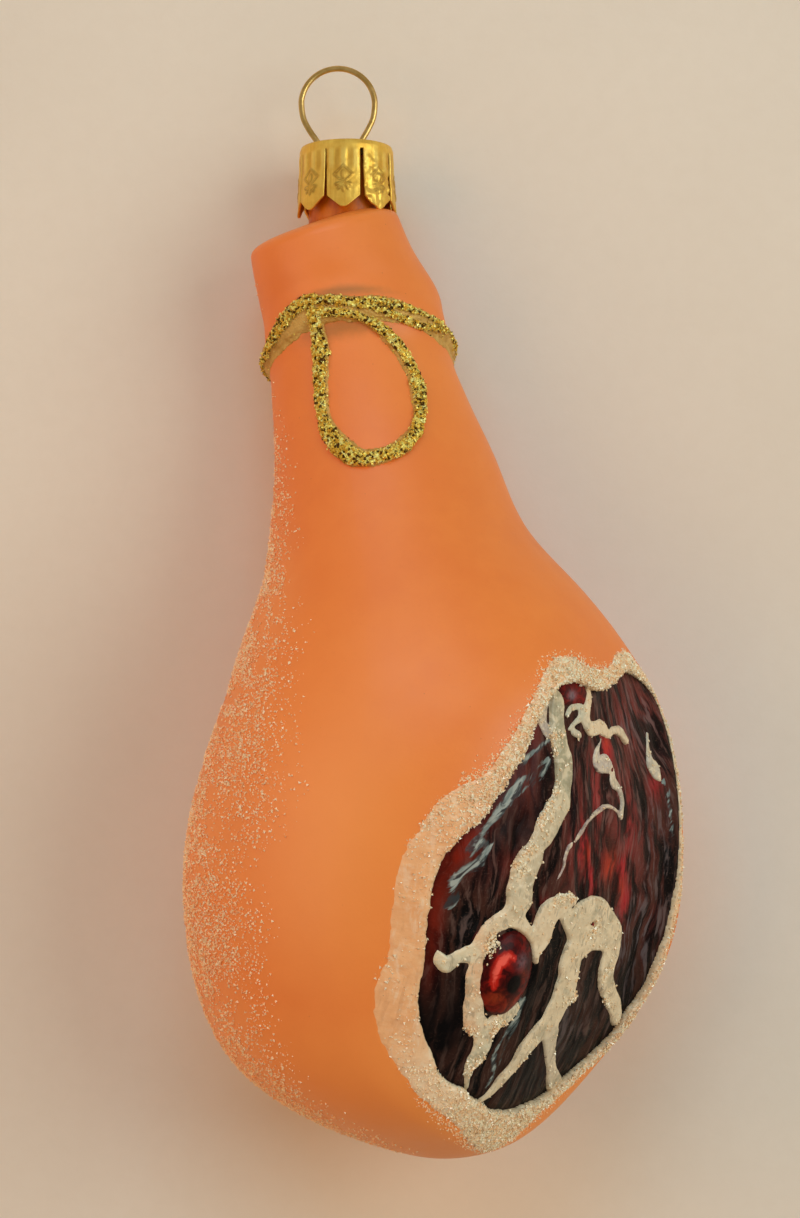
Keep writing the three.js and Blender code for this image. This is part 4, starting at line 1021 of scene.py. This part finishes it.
T, quads, used = slab(keep, on_face(U, V, level), on_face(U, V, np.full(U.shape, -1.1)))
mesh_piece("marbling", T, quads, marble_mat, values={k: np.concatenate([v.reshape((-1,) + v.shape[2:])[used]] * 2) for k, v in marble_values.items()})
print("marbling", keep.sum())


# ---------------------------------------------------------------- bone and the dark knob above it
def dome(name, middle, level, radii, material, extra):
    """A closed flattened ball set in the face."""
    rows, cols = 42, 84
    lat = np.linspace(-math.pi / 2, math.pi / 2, rows + 1)[1:-1]
    lon = np.arange(cols) * (2 * math.pi / cols)
    a, b = np.meshgrid(lat, lon, indexing="ij")
    x = np.concatenate([(np.cos(a) * np.cos(b)).ravel(), [0, 0]])
    y = np.concatenate([(np.cos(a) * np.sin(b)).ravel(), [0, 0]])
    z = np.concatenate([np.sin(a).ravel(), [-1, 1]])
    z = np.where(z < 0, z * 0.4, z)
    u = middle[0] + radii[0] * x
    v = middle[1] + radii[1] * y
    wobble = 1 + 0.03 * noise(np.stack([u, v], -1), 2.2, 41)
    u, v = middle[0] + (u - middle[0]) * wobble, middle[1] + (v - middle[1]) * wobble
    h = level + radii[2] * z
    P = CUT_POINT + u[:, None] * CUT_U + v[:, None] * CUT_V + (over_plane(u, v) * 0.5 + over_plane(np.full(u.shape, middle[0]), np.full(u.shape, middle[1])) * 0.5 + h)[:, None] * CUT_N
    k = len(lat)
    i, j = np.meshgrid(np.arange(k - 1), np.arange(cols), indexing="ij")
    q = np.stack([i * cols + j, i * cols + (j + 1) % cols, (i + 1) * cols + (j + 1) % cols, (i + 1) * cols + j], -1).reshape(-1, 4)
    j = np.arange(cols)
    fan = np.concatenate([np.stack([np.full(cols, k * cols), (j + 1) % cols, j], -1), np.stack([np.full(cols, k * cols + 1), (k - 1) * cols + j, (k - 1) * cols + (j + 1) % cols], -1)])
    values = {"face": np.stack([u, v, h], -1)}
    values.update(extra(u, v))
    return mesh_piece(name, P, [q, fan], material, values=values)


# painted highlight: the line of the bright red streak on the bone
highlight_streak = [(-9.4, -5.25, 0.16), (-10.2, -5.0, 0.42), (-10.75, -5.45, 0.5), (-11.15, -6.15, 0.36), (-11.4, -6.95, 0.28), (-11.45, -7.95, 0.2), (-11.25, -8.9, 0.1)]
# pinkish-grey patches on the bone and the knob are painted sheen
dome("bone", (-8.8, -7.15), -1.0, (3.75, 5.15, 1.6), bone_mat, lambda u, v: {
    "painted_highlight": ramp(-stroke_distance(u, v, highlight_streak), -0.62, 0.38), "amber": blob(u, v, [(-10.5, -9.9, 1.3, 1.0, 0.7), (-8.2, -10.8, 1.5, 1.0, 0.6), (-7.6, -7.2, 0.6, 0.9, 0.4)]),
    "darkened": blob(u, v, [(-8.8, -8.3, 1.15, 1.25, 1.8), (-9.9, -8.5, 0.8, 1.0, 0.7), (-11.6, -3.6, 1.5, 1.3, 0.85), (-9.6, -2.9, 1.8, 0.8, 0.6), (-6.3, -5.6, 0.9, 3.0, 0.7), (-8.9, -6.9, 0.9, 0.6, 0.5), (-12.2, -6.0, 0.6, 2.5, 0.7)]),
    "sheen_patch": blob(u, v, [(-8.1, -5.7, 0.9, 0.9, 0.42)])})
# the knob darker towards its lower edge
dome("knob", (-1.2, 23.6), -0.6, (3.2, 1.9, 0.28), bone_mat, lambda u, v: {
    "painted_highlight": 0 * u + 0.05, "amber": 0 * u, "darkened": 0.0 + 0.7 * ramp(-v, -23.3, -22.2), "sheen_patch": blob(u, v, [(-1.3, 23.9, 0.75, 0.5, 0.8)])})


# ================================================================ gold cord: a moulded ridge and loop, gold paint, glitter glue
# lines as they show in plan: place across, place along, half width
LOOP_LINE = np.array([(-10.18, 34.08, 0.82), (-9.94, 33.1, 0.89), (-9.72, 31.78, 0.94), (-9.61, 30.47, 1.0), (-9.53, 29.16, 0.92), (-9.53, 27.84, 0.92), (-9.56, 26.53, 0.85), (-9.49, 25.22, 0.84),
                      (-9.4, 23.9, 0.8), (-9.2, 22.59, 0.78), (-8.79, 21.28, 0.98), (-8.05, 20.13, 1.19), (-7.15, 19.06, 1.27), (-6.0, 18.16, 1.23), (-4.6, 17.63, 1.03), (-3.12, 17.75, 0.92),
                      (-1.48, 18.19, 0.89), (-0.17, 18.73, 0.94), (1.06, 19.63, 0.94), (1.93, 20.78, 0.86), (2.46, 22.26, 0.76), (2.56, 23.9, 0.82), (2.41, 25.22, 0.92), (2.16, 26.53, 0.92),
                      (1.72, 27.84, 0.76), (1.14, 28.99, 0.76), (0.49, 30.14, 0.79), (-0.33, 31.13, 0.85), (-1.32, 32.11, 0.8), (-2.3, 32.93, 0.72), (-3.29, 33.59, 0.66), (-4.44, 34.16, 0.62),
                      (-5.92, 34.57, 0.62), (-7.39, 34.74, 0.66), (-8.87, 34.74, 0.74), (-10.02, 34.66, 0.78)])
TOP_LINE = np.array([(-15.6, 29.9, 0.5), (-15.4, 30.7, 0.64), (-14.95, 31.5, 0.8), (-14.35, 32.6, 0.92), (-13.5, 33.8, 1.05), (-12.75, 34.85, 1.12), (-11.7, 35.7, 1.0), (-10.51, 36.1, 0.8),
                     (-8.87, 36.13, 0.62), (-7.23, 36.13, 0.66), (-5.59, 35.89, 0.74), (-4.44, 35.81, 0.8), (-2.96, 36.05, 0.66), (-1.48, 35.81, 0.72), (-0.01, 35.56, 0.64), (1.31, 35.07, 0.5),
                     (2.79, 34.49, 0.46), (4.26, 33.67, 0.42), (5.58, 32.6, 0.4), (6.07, 31.78, 0.36)])
MID_LINE = np.array([(-4.27, 35.64, 0.41), (-3.12, 35.26, 0.45), (-1.98, 34.98, 0.45), (-0.99, 34.61, 0.49), (0.16, 34.08, 0.51), (1.31, 33.59, 0.54), (2.62, 33.1, 0.54), (4.26, 32.9, 0.5), (5.41, 32.52, 0.42)])
LOW_LINE = np.array([(1.06, 32.69, 0.21), (1.8, 32.28, 0.23), (2.46, 31.95, 0.25), (3.77, 31.45, 0.25), (4.51, 30.96, 0.2)])
SIDE_LOBE = np.array([(-8.87, 30.06, 0.33), (-8.41, 29.94, 0.38)])
STEM_TOP = np.array([(-10.18, 34.08, 0.8), (-10.4, 35.0, 0.7), (-10.6, 35.9, 0.6)])

GOLD_ROWS = np.arange(97.0, 122.0, 0.15)
GOLD_COLS = 480
gw = np.arange(GOLD_COLS) * (2 * math.pi / GOLD_COLS)
GU, GW = np.meshgrid(GOLD_ROWS, gw, indexing="ij")
GS = band_offset(GU, GW)
ground = skin(GU, GW, swell(GU, GW))
PX, PY = seen_from_above(ground + unit(ground - spine(GU)) * 0.6)
facing = (np.sin(GW) > 0.0)


def traced_offset(line):
    """The traced line's offset from the cord's middle, and its half width, at the angles round the front of the shank
    where the line shows, in order of angle; the back is filled in after the call.
    """
    pts = spline(line, 0.25)
    offset, half, angles = [], [], []
    use = facing
    gx, gy, gs, ga = PX[use], PY[use], GS[use], GW[use]
    for x, y, r in pts:
        k = np.argmin((gx - x) ** 2 + (gy - y) ** 2)
        if (gx[k] - x) ** 2 + (gy[k] - y) ** 2 < 0.3:
            angles.append(ga[k]); offset.append(gs[k]); half.append(r)
    order = np.argsort(angles)
    return np.array(angles)[order], np.array(offset)[order], np.array(half)[order]


ta, to, th = traced_offset(TOP_LINE)
top_s = np.interp(gw, np.concatenate([ta, [math.pi * 1.3, math.pi * 1.7, 2 * math.pi + ta[0]]]), np.concatenate([to, [0.9, 0.7, to[0]]]))
top_h = np.interp(gw, np.concatenate([ta, [math.pi * 1.3, math.pi * 1.7, 2 * math.pi + ta[0]]]), np.concatenate([th, [0.55, 0.5, th[0]]]))
low_s = np.where((gw > math.pi), -0.75 + 0.12 * np.sin(5 * gw), -0.75)


def ridge(d, half, high):
    return high * np.sqrt(np.clip(1 - (np.clip(d, -half, half) / half) ** 2, 0, 1))


PG = np.stack([GU, 12 * np.cos(GW), 12 * np.sin(GW)], -1)
wave = 0.22 * noise(PG, 1.4, 51) + 0.14 * noise(PG, 0.6, 52)
band = ridge(GS, BAND_W * np.ones(GS.shape), 0.6)
loop_sd = np.where(facing, stroke_distance(PX, PY, np.concatenate([LOOP_LINE, LOOP_LINE[:1]])), 9.0)
loop_half = 0.95
loop_ridge = 0.45 * np.sqrt(np.clip(1 - np.clip((loop_sd + loop_half) / loop_half, 0, 1) ** 2, 0, 1)) * (loop_sd < 0)
across = np.clip(np.abs(GS - top_s[None]) - top_h[None], -1, 3)
glue = np.minimum(across, loop_sd + 0.05)
for line in (MID_LINE, LOW_LINE, SIDE_LOBE, STEM_TOP):
    glue = np.minimum(glue, np.where(facing, stroke_distance(PX, PY, line), 9.0))
back = ~facing
glue = np.where(back, np.minimum(glue, np.abs(GS - low_s[None]) - 0.34), glue)
glue = glue + wave * 0.55 + 0.08
crumbs = 0.16 * noise(PG, 0.34, 53) + 0.10 * noise(PG, 0.9, 54)
beads = 0.24 * np.sqrt(np.clip(1 - (1 - np.clip(-glue / 0.55, 0, 1)) ** 2, 0, 1)) + crumbs * ramp(-glue, 0.0, 0.3)
# matte gold paint strays a little off the ridge
paint_edge = BAND_W + 0.28 + 0.35 * noise(PG, 1.6, 55) + 0.12 * noise(PG, 0.5, 56)
stray = np.where(facing, 0.9 * ramp(PX, 0.5, 5.5) * (GS < 0) + 0.5 * ramp(-PX, 11.5, 15.0) * (GS < 0), 0.2)
paint = np.maximum(paint_edge + stray - np.abs(GS), 0.12 - loop_sd + 0.2 * noise(PG, 0.8, 57))
paint = np.where(facing & (loop_sd > 0.3), np.minimum(paint, top_s[None] + top_h[None] + 0.12 - GS), paint)
height = np.maximum(band, loop_ridge)
height = np.maximum(height, 0.05 + 0.02 * noise(PG, 0.6, 58)) + beads
height = np.where(paint > 0.0, height, -0.25) - 0.2 * ramp(paint, 0.10, -0.05)
glitter = ramp(-glue, -0.05, 0.12)
outward = unit(ground - spine(GU))
keep = (np.maximum(paint, -glue)[:-1] > -0.06) & (np.maximum(paint, -glue)[1:] > -0.06)
keep = keep & np.roll(keep, -1, 1)
top = ground + outward * height[..., None]
bottom = ground - outward * 0.5
T, quads, used = slab(keep, top, bottom, wrap=True)
mesh_piece("gold_cord", T, quads, gold_mat, values={"glitter": np.tile(glitter.ravel()[used], 2)})

# loose flakes on the glue
tx, ty = np.gradient(top, axis=0), (np.roll(top, -1, 1) - np.roll(top, 1, 1)) / 2
normal = unit(np.cross(ty, tx))
normal = np.where((np.sum(normal * outward, -1) < 0)[..., None], -normal, normal)
cell_area = np.linalg.norm(np.cross(tx, ty), axis=-1)
weight = (glitter * (0.02 + 0.98 * ramp(-glue, 0.0, 0.25)) * cell_area).ravel()
weight = weight * (top[..., 2] > 0.45).ravel()
pick = rng.choice(len(weight), 15600, p=weight / weight.sum())
FP = top.reshape(-1, 3)[pick] + 0.07 * rng.normal(size=(len(pick), 3))
V, F = chips(FP, normal.reshape(-1, 3)[pick], 0.26, 0.06, 0.5, 5, 0.04)
mesh_piece("gold_flakes", V, F, flake_mat, smooth=False)
stray_weight = (np.exp(-np.clip(glue, 0, 3) * 2.2) * (glue > 0.05) * cell_area).ravel()
pick = rng.choice(len(stray_weight), 420, replace=False, p=stray_weight / stray_weight.sum())
V, F = chips(top.reshape(-1, 3)[pick], normal.reshape(-1, 3)[pick], 0.24, 0.05, 0.4, 5, 0.05)
mesh_piece("stray_flakes", V, F, flake_mat, smooth=False)
print("gold", keep.sum())

# ================================================================ pale dusting on the left flank
cu, cw = rng.uniform(1, 124, 400000), rng.uniform(math.radians(95), math.radians(250), 400000)
patchy = np.clip(0.75 + 0.9 * noise(np.stack([cu, 20 * np.cos(cw), 20 * np.sin(cw)], -1), 5.0, 61) + 0.9 * noise(np.stack([cu, 20 * np.cos(cw), 20 * np.sin(cw)], -1), 1.3, 62), 0.03, 1.9)
girth = fa(cu) / 29.0
ok = rng.random(len(cu)) < 0.42 * dust_density(cu, cw) * patchy * girth
cu, cw = cu[ok], cw[ok]
DP = skin(cu, cw, swell(cu, cw))
lifted = DP[:, 2] > 0.5
cu, cw, DP = cu[lifted], cw[lifted], DP[lifted]
DN = unit(DP - spine(cu))
V, F = specks(DP, DN, 0.235, 0.35)
mesh_piece("dust", V, F, dust_mat, smooth=False)
print("dust", len(cu))

# clear glitter on the rim and along the marbling
U, V_, level, keep, grainy, dI, dO = rim_grid
w = (keep_points := (dI > 0.05) & (dO > 0.02)) * np.clip(grainy - 0.12, 0, 1) ** 1.2 * (0.5 + ramp(dI, 0.0, 0.5))
w = w.ravel()
pick = rng.choice(len(w), 11000, p=w / w.sum())
PU, PV = U.ravel()[pick] + 0.07 * rng.normal(size=len(pick)), V_.ravel()[pick] + 0.07 * rng.normal(size=len(pick))
RP = on_face(PU, PV, level.ravel()[pick] + 0.02)
V, F = specks(RP, np.tile(CUT_N, (len(pick), 1)), 0.25, 0.25)
mesh_piece("rim_glitter", V, F, crystal_mat, smooth=False)
edge = rough ** 2 * (np.exp(-((sd + 0.15) / 0.3) ** 2) + 0.25 * (sd < 0.5)) * (dI < 0) + 0.012 * (sd < -0.1)
edge = edge.ravel()
pick = rng.choice(len(edge), 1500, replace=False, p=edge / edge.sum())
PU, PV = U.ravel()[pick] + 0.08 * rng.normal(size=len(pick)), V_.ravel()[pick] + 0.08 * rng.normal(size=len(pick))
heap = rng.normal(size=(90, 3)) * (0.42, 0.75, 0.10) + (-11.9, -4.2, -0.05)
PU, PV = np.concatenate([PU, heap[:, 0]]), np.concatenate([PV, heap[:, 1]])
RP = on_face(PU, PV, np.concatenate([marble_level.ravel()[pick] + 0.02, heap[:, 2]]))
V, F = grains(RP, np.tile(CUT_N, (len(RP), 1)), 0.34, 0.1)
mesh_piece("marbling_glitter", V, F, crystal_mat, smooth=False)

# fine grit strewn on the skin just past the rim
far = -dO.ravel()
spread = np.exp(-np.clip(far, 0, 5) / 0.3) * ((far > 0.0) & (far < 1.3)) * by_direction(U, V_, [(0, 0.0), (60, 0.05), (80, 0.15), (112, 0.12), (128, 0.25), (137, 1.0), (150, 0.8), (168, 0.25), (210, 0.12), (240, 0.35), (262, 0.5), (285, 0.2), (300, 0.0)]).ravel()
spread = spread * (over_plane(U, V_) > -2.5).ravel()
pick = rng.choice(len(spread), 900, p=spread / spread.sum())
PU, PV = U.ravel()[pick] + 0.07 * rng.normal(size=len(pick)), V_.ravel()[pick] + 0.07 * rng.normal(size=len(pick))
GP = []
for p in on_face(PU, PV, np.full(PU.shape, 6.0)):
    hit = tree.ray_cast(Vector(p), down)
    if hit[0] is not None:
        GP.append(tuple(hit[0]))
GP = np.array(GP)
V, F = grains(GP, np.tile(CUT_N, (len(GP), 1)), 0.2, 0.3)
mesh_piece("rim_grit", V, F, dust_mat, smooth=False)

# ================================================================ neck, cap and hanger
neck_mat, cap_mat, wire_mat = make_neck(), make_cap(), make_wire()
P, F = lathe(NECK_BASE, NECK_DIR, neck_x, [(4.6, -1.6), (4.6, 0.0), (4.58, 3.0), (4.6, 6.7), (4.45, 7.1), (4.2, 7.2), (3.95, 7.05), (3.9, 6.6), (3.9, -1.4)], 96)
neck = mesh_piece("neck", P, F, neck_mat)

CAP_TOP = np.array([-6.48, 55.55, 8.45])
side = unit(np.array([1.0, 0, 0]) - NECK_DIR * NECK_DIR[0])
toward = np.cross(side, NECK_DIR)


def on_cap(r, a, h):
    """Cap frame: radius, angle from the right over the front, height up the neck."""
    return CAP_TOP + np.asarray(r * np.cos(a))[..., None] * side + np.asarray(r * np.sin(a))[..., None] * toward + np.asarray(h)[..., None] * NECK_DIR


TABS, TAB_CELLS, DOWN = 8, 34, 62
cols = TABS * (TAB_CELLS + 2)
pitch = 2 * math.pi / TABS
# gap between one tab and the next, at the top and at the bottom, in millimetres round the skirt
GAPS = np.array([[0.42, 0.62], [0.16, 0.40], [0.2, 0.5], [0.25, 0.45], [0.3, 0.5], [0.25, 0.4], [0.2, 0.5], [0.3, 0.55]])
first = math.radians(2.6) + pitch / 2
LENGTH, POINT, SLOT_TOP = 8.3, 1.6, 1.1
local = np.concatenate([np.concatenate([np.linspace(-1, 1, TAB_CELLS + 1), [2.0]]) for _ in range(TABS)])
kind = np.repeat(np.arange(TABS), TAB_CELLS + 2)
flare = np.array([0.02, 0.02, 0.14, 0.08, 0.1, 0.05, 0.12, 0.10])[kind]
tipward = np.clip((np.abs(local) - 0.08) / 0.92, 0, 1)
reach = np.where(np.abs(local) <= 1, LENGTH - POINT * (np.sqrt(tipward ** 2 + 0.012) - 0.1095), LENGTH - POINT)
t = np.concatenate([np.linspace(0, SLOT_TOP, 8)[:-1], np.linspace(SLOT_TOP, LENGTH, DOWN - 6)]) / LENGTH
depth = np.where(t[:, None] * LENGTH <= SLOT_TOP, t[:, None] * LENGTH, SLOT_TOP + (t[:, None] * LENGTH - SLOT_TOP) / (LENGTH - SLOT_TOP) * (reach[None] - SLOT_TOP))
L, K = np.broadcast_to(local, depth.shape), np.broadcast_to(kind, depth.shape)
part = ramp(depth, 1.0, 7.5)
gap_after = (GAPS[K, 0] + (GAPS[K, 1] - GAPS[K, 0]) * part) / 5.8
gap_before = (GAPS[K - 1, 0] + (GAPS[K - 1, 1] - GAPS[K - 1, 0]) * part) / 5.8
left, right = first + K * pitch + gap_before / 2, first + (K + 1) * pitch - gap_after / 2
A = np.where(L <= 1, left + (L + 1) / 2 * (right - left), first + (K + 1) * pitch)
middle = (first + (K + 0.5) * pitch) % (2 * math.pi)
radius = np.interp(depth, [0, 0.5, 4.5, 8.3], [5.5, 5.66, 5.74, 5.9]) + flare[None] * ramp(depth, 2.0, 8.3)
x = np.clip(L, -1, 1) * pitch / 2 * 5.75
on_tab = np.abs(L) <= 1
panels = 0.045 * np.tanh(2.5 * np.sin(x * 3.9 + K * 1.7)) * ramp(depth, 0.8, 1.5) * ramp(depth, 4.2, 3.0)
# a raised lozenge with a leaf in it, and five petals fanned out below
lozenge = np.abs(x) / 1.25 + np.abs(depth - 4.35) / 1.05
emboss = 0.10 * np.exp(-((lozenge - 1.0) / 0.12) ** 2) + 0.12 * np.sqrt(np.clip(1 - (x / 0.34) ** 2 - ((depth - 4.4) / 0.62) ** 2, 0, 1))
for q in (-76, -42, 0, 42, 76):
    q = math.radians(q)
    along_q, across_q = x * math.sin(q) + (depth - 5.35) * math.cos(q), x * math.cos(q) - (depth - 5.35) * math.sin(q)
    emboss = np.maximum(emboss, 0.12 * np.sqrt(np.clip(1 - ((along_q - 0.72) / 0.52) ** 2 - (across_q / 0.2) ** 2, 0, 1)))
emboss = emboss * on_tab
# painted shade: steep edges of the embossing get darker lines
slope_down = np.gradient(emboss, axis=0) / np.maximum(np.gradient(depth, axis=0), 1e-3)
slope_across = np.gradient(emboss, axis=1) / np.maximum(np.abs(np.gradient(x, axis=1)), 0.05)
emboss_shade = np.clip(np.hypot(slope_down, slope_across) * 2.2, 0, 1) * on_tab
PL = np.stack([x + 9 * K, depth], -1)
crush = np.exp(-((middle - math.radians(47)) / 0.3) ** 2)
facets = np.abs(noise(PL, 1.0, 85)) * 0.22 + 0.10 * noise(PL, 0.5, 86)
dents = 0.04 * noise(PL, 1.3, 81) + 0.025 * noise(PL, 0.45, 82)
radius = radius + (panels * on_tab + emboss) * (1 - 0.5 * crush) + dents * ramp(depth, 0.8, 2.0) + crush * (facets - 0.08) * ramp(depth, 1.6, 3.2)
outer = on_cap(radius, A, -depth)
inner_wall = on_cap(radius - 0.32 - 0.6 * emboss, A, -depth)
cells = np.ones((len(t) - 1, cols), bool)
below = (t[:-1] * LENGTH >= SLOT_TOP - 1e-6)
slot_cols = (np.abs(np.broadcast_to(local, (1, cols))[0]) > 1) | (np.arange(cols) % (TAB_CELLS + 2) == TAB_CELLS)
cells[np.ix_(below, slot_cols)] = False
T, quads, used = slab(cells, outer, inner_wall, wrap=True)
sheet_place = np.stack([A * 5.75, -depth, 0 * A], -1).reshape(-1, 3)[used]
# painted light and shade on the cap's pleats and embossing
cap_light_and_shade = {"emboss_shade": np.tile(emboss_shade.ravel()[used], 2), "pleat_light_and_shade": np.tile((panels * on_tab / 0.045).ravel()[used], 2)}
skirt = mesh_piece("cap_tabs", T, quads, cap_mat, values={"sheet": np.tile(sheet_place, (2, 1)), **cap_light_and_shade})
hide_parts("crown_cap")

rr = np.concatenate([np.linspace(0.02, 4.6, 34), [4.85, 5.05, 5.22, 5.36, 5.45, 5.5]])
hh = np.interp(rr, [0, 3.39, 4.6, 5.05, 5.36, 5.5], [0.35, 0.25, 0.17, 0.12, 0.0, -0.14])
na = 128
aa = np.arange(na) * (2 * math.pi / na)
R, A2 = np.meshgrid(rr, aa, indexing="ij")
H = np.broadcast_to(hh[:, None], R.shape).copy()
X2, Z2 = R * np.cos(A2), R * np.sin(A2)
for hx in (-2.95, 1.15):
    H = H - 0.28 * np.exp(-(((X2 - hx) / 0.7) ** 2 + (Z2 / 0.7) ** 2))
H = H + 0.03 * noise(np.stack([X2, Z2], -1), 1.5, 83)
topside = on_cap(R, A2, H)
underside = on_cap(R * 0.995, A2, H - 0.32)
T, quads, used = slab(np.ones((len(rr) - 1, na), bool), topside, underside, wrap=True)
mesh_piece("cap_top", T, quads, cap_mat, values={"sheet": np.tile(np.stack([X2, Z2, 0 * X2], -1).reshape(-1, 3)[used], (2, 1))})

ring = [(-0.98 + 4.45 * math.cos(math.radians(q)), 5.6 + 4.45 * math.sin(math.radians(q))) for q in range(176, -1, -11)]
wire_line = np.array([(-2.9, -8.6), (-2.5, -5.2), (-2.45, -2.2), (-2.8, -0.3), (-3.45, 0.9), (-4.5, 2.5), (-5.17, 3.9)] + ring
                     + [(3.25, 3.85), (2.6, 2.4), (1.85, 1.1), (1.0, -0.3), (0.7, -2.2), (1.9, -5.2), (2.3, -8.6)])


def centripetal(points, per):
    p = np.vstack([2 * points[0] - points[1], points, 2 * points[-1] - points[-2]])
    out = []
    for i in range(1, len(p) - 2):
        a, b, c, d = p[i - 1], p[i], p[i + 1], p[i + 2]
        t0 = 0.0
        t1 = t0 + math.sqrt(np.linalg.norm(b - a)); t2 = t1 + math.sqrt(np.linalg.norm(c - b)); t3 = t2 + math.sqrt(np.linalg.norm(d - c))
        for k in range(per):
            t_ = t1 + (t2 - t1) * k / per
            a1 = a * (t1 - t_) / (t1 - t0) + b * (t_ - t0) / (t1 - t0)
            a2 = b * (t2 - t_) / (t2 - t1) + c * (t_ - t1) / (t2 - t1)
            a3 = c * (t3 - t_) / (t3 - t2) + d * (t_ - t2) / (t3 - t2)
            b1 = a1 * (t2 - t_) / (t2 - t0) + a2 * (t_ - t0) / (t2 - t0)
            b2 = a2 * (t3 - t_) / (t3 - t1) + a3 * (t_ - t1) / (t3 - t1)
            out.append(b1 * (t2 - t_) / (t2 - t1) + b2 * (t_ - t1) / (t2 - t1))
    out.append(points[-1])
    return np.array(out)


path = centripetal(wire_line, 8)
tangent = unit(np.gradient(path, axis=0))
normal2 = np.stack([-tangent[:, 1], tangent[:, 0]], -1)
na = 20
aa = np.arange(na) * (2 * math.pi / na)
r = 0.36 + 0.006 * noise(np.stack([path[:, 0], path[:, 1]], -1), 2.0, 84)
ox = path[:, None, 0] + (r[:, None] * np.cos(aa)[None]) * normal2[:, None, 0]
oy = path[:, None, 1] + (r[:, None] * np.cos(aa)[None]) * normal2[:, None, 1]
oz = r[:, None] * np.sin(aa)[None] + 0 * ox
P = CAP_TOP + ox[..., None] * side + oy[..., None] * NECK_DIR + oz[..., None] * toward
k = len(path)
q = ring_faces(k, na)
ends = [np.arange(na)[None], ((k - 1) * na + np.arange(na)[::-1])[None]]
wire = mesh_piece("hanger", P.reshape(-1, 3), [q] + ends, wire_mat)
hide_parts("hanger_wire")


# ================================================================ stage
def make_floor():
    s = Shader("floor_card", Roughness=0.75, IOR=1.4)
    c = s.mix(s.step(s.noise(60.0, 3, 0.5), 0.3, 0.7), linear(232, 217, 194), linear(238, 223, 200))
    c = s.mix(s.step(s.noise(2.2, 4, 0.6), 0.3, 0.75, 0, 0.12), c, linear(222, 204, 178))
    s.set(Base_Color=c)
    s.bump((s.noise(0.7, 3), 0.015))
    return s.mat


me = bpy.data.meshes.new("floor")
me.from_pydata([(-1.5, -1.5, -2e-5), (1.5, -1.5, -2e-5), (1.5, 1.5, -2e-5), (-1.5, 1.5, -2e-5)], [], [(0, 1, 2, 3)])
me.materials.append(make_floor())
floor = bpy.data.objects.new("floor", me)
bpy.context.scene.collection.objects.link(floor)


def area(name, at, to, width, height, power, colour):
    lamp = bpy.data.lights.new(name, "AREA")
    lamp.shape, lamp.size, lamp.size_y, lamp.energy, lamp.color = "RECTANGLE", width, height, power, colour
    o = bpy.data.objects.new(name, lamp)
    o.location = at
    o.rotation_euler = (Vector(to) - Vector(at)).to_track_quat("-Z", "Y").to_euler()
    bpy.context.scene.collection.objects.link(o)
    return o


area("key_right", (0.615, 0.135, 0.569), (0, 0, 0.02), 0.50, 0.60, 3.1, (0.92, 1.0, 0.98))
# the fill lights tint the card and the paint; their reflections stay neutral
for name, at, width, height, power, colour, shine, tint in (
        ("far_side", (-0.11, 0.622, 0.569), 0.55, 0.45, 2.4, (0.29, 0.65, 1.0), 1.5, (0.95, 1.0, 1.0)),
        ("left_bounce", (-0.60, 0.10, 0.50), 0.50, 0.60, 2.16, (1.0, 0.50, 0.14), 1.3, (1.0, 0.93, 0.86))):
    area(name, at, (0, 0, 0.02), width, height, power, colour).visible_glossy = False
    area(name + "_shine", at, (0, 0, 0.02), width, height, shine, tint).visible_diffuse = False

world = bpy.data.worlds.new("studio")
bpy.context.scene.world = world
world.use_nodes = True
world.node_tree.nodes["Background"].inputs["Color"].default_value = (1.0, 0.9, 0.82, 1.0)
world.node_tree.nodes["Background"].inputs["Strength"].default_value = 0.3

cam = bpy.data.cameras.new("camera")
cam.sensor_fit, cam.sensor_height, cam.lens = "VERTICAL", 24.0, 67.37
camera = bpy.data.objects.new("camera", cam)
camera.location = (SHIFT[0] / 1000, SHIFT[1] / 1000, 0.422)
bpy.context.scene.collection.objects.link(camera)
bpy.context.scene.camera = camera
bpy.context.scene.view_settings.view_transform = "Standard"
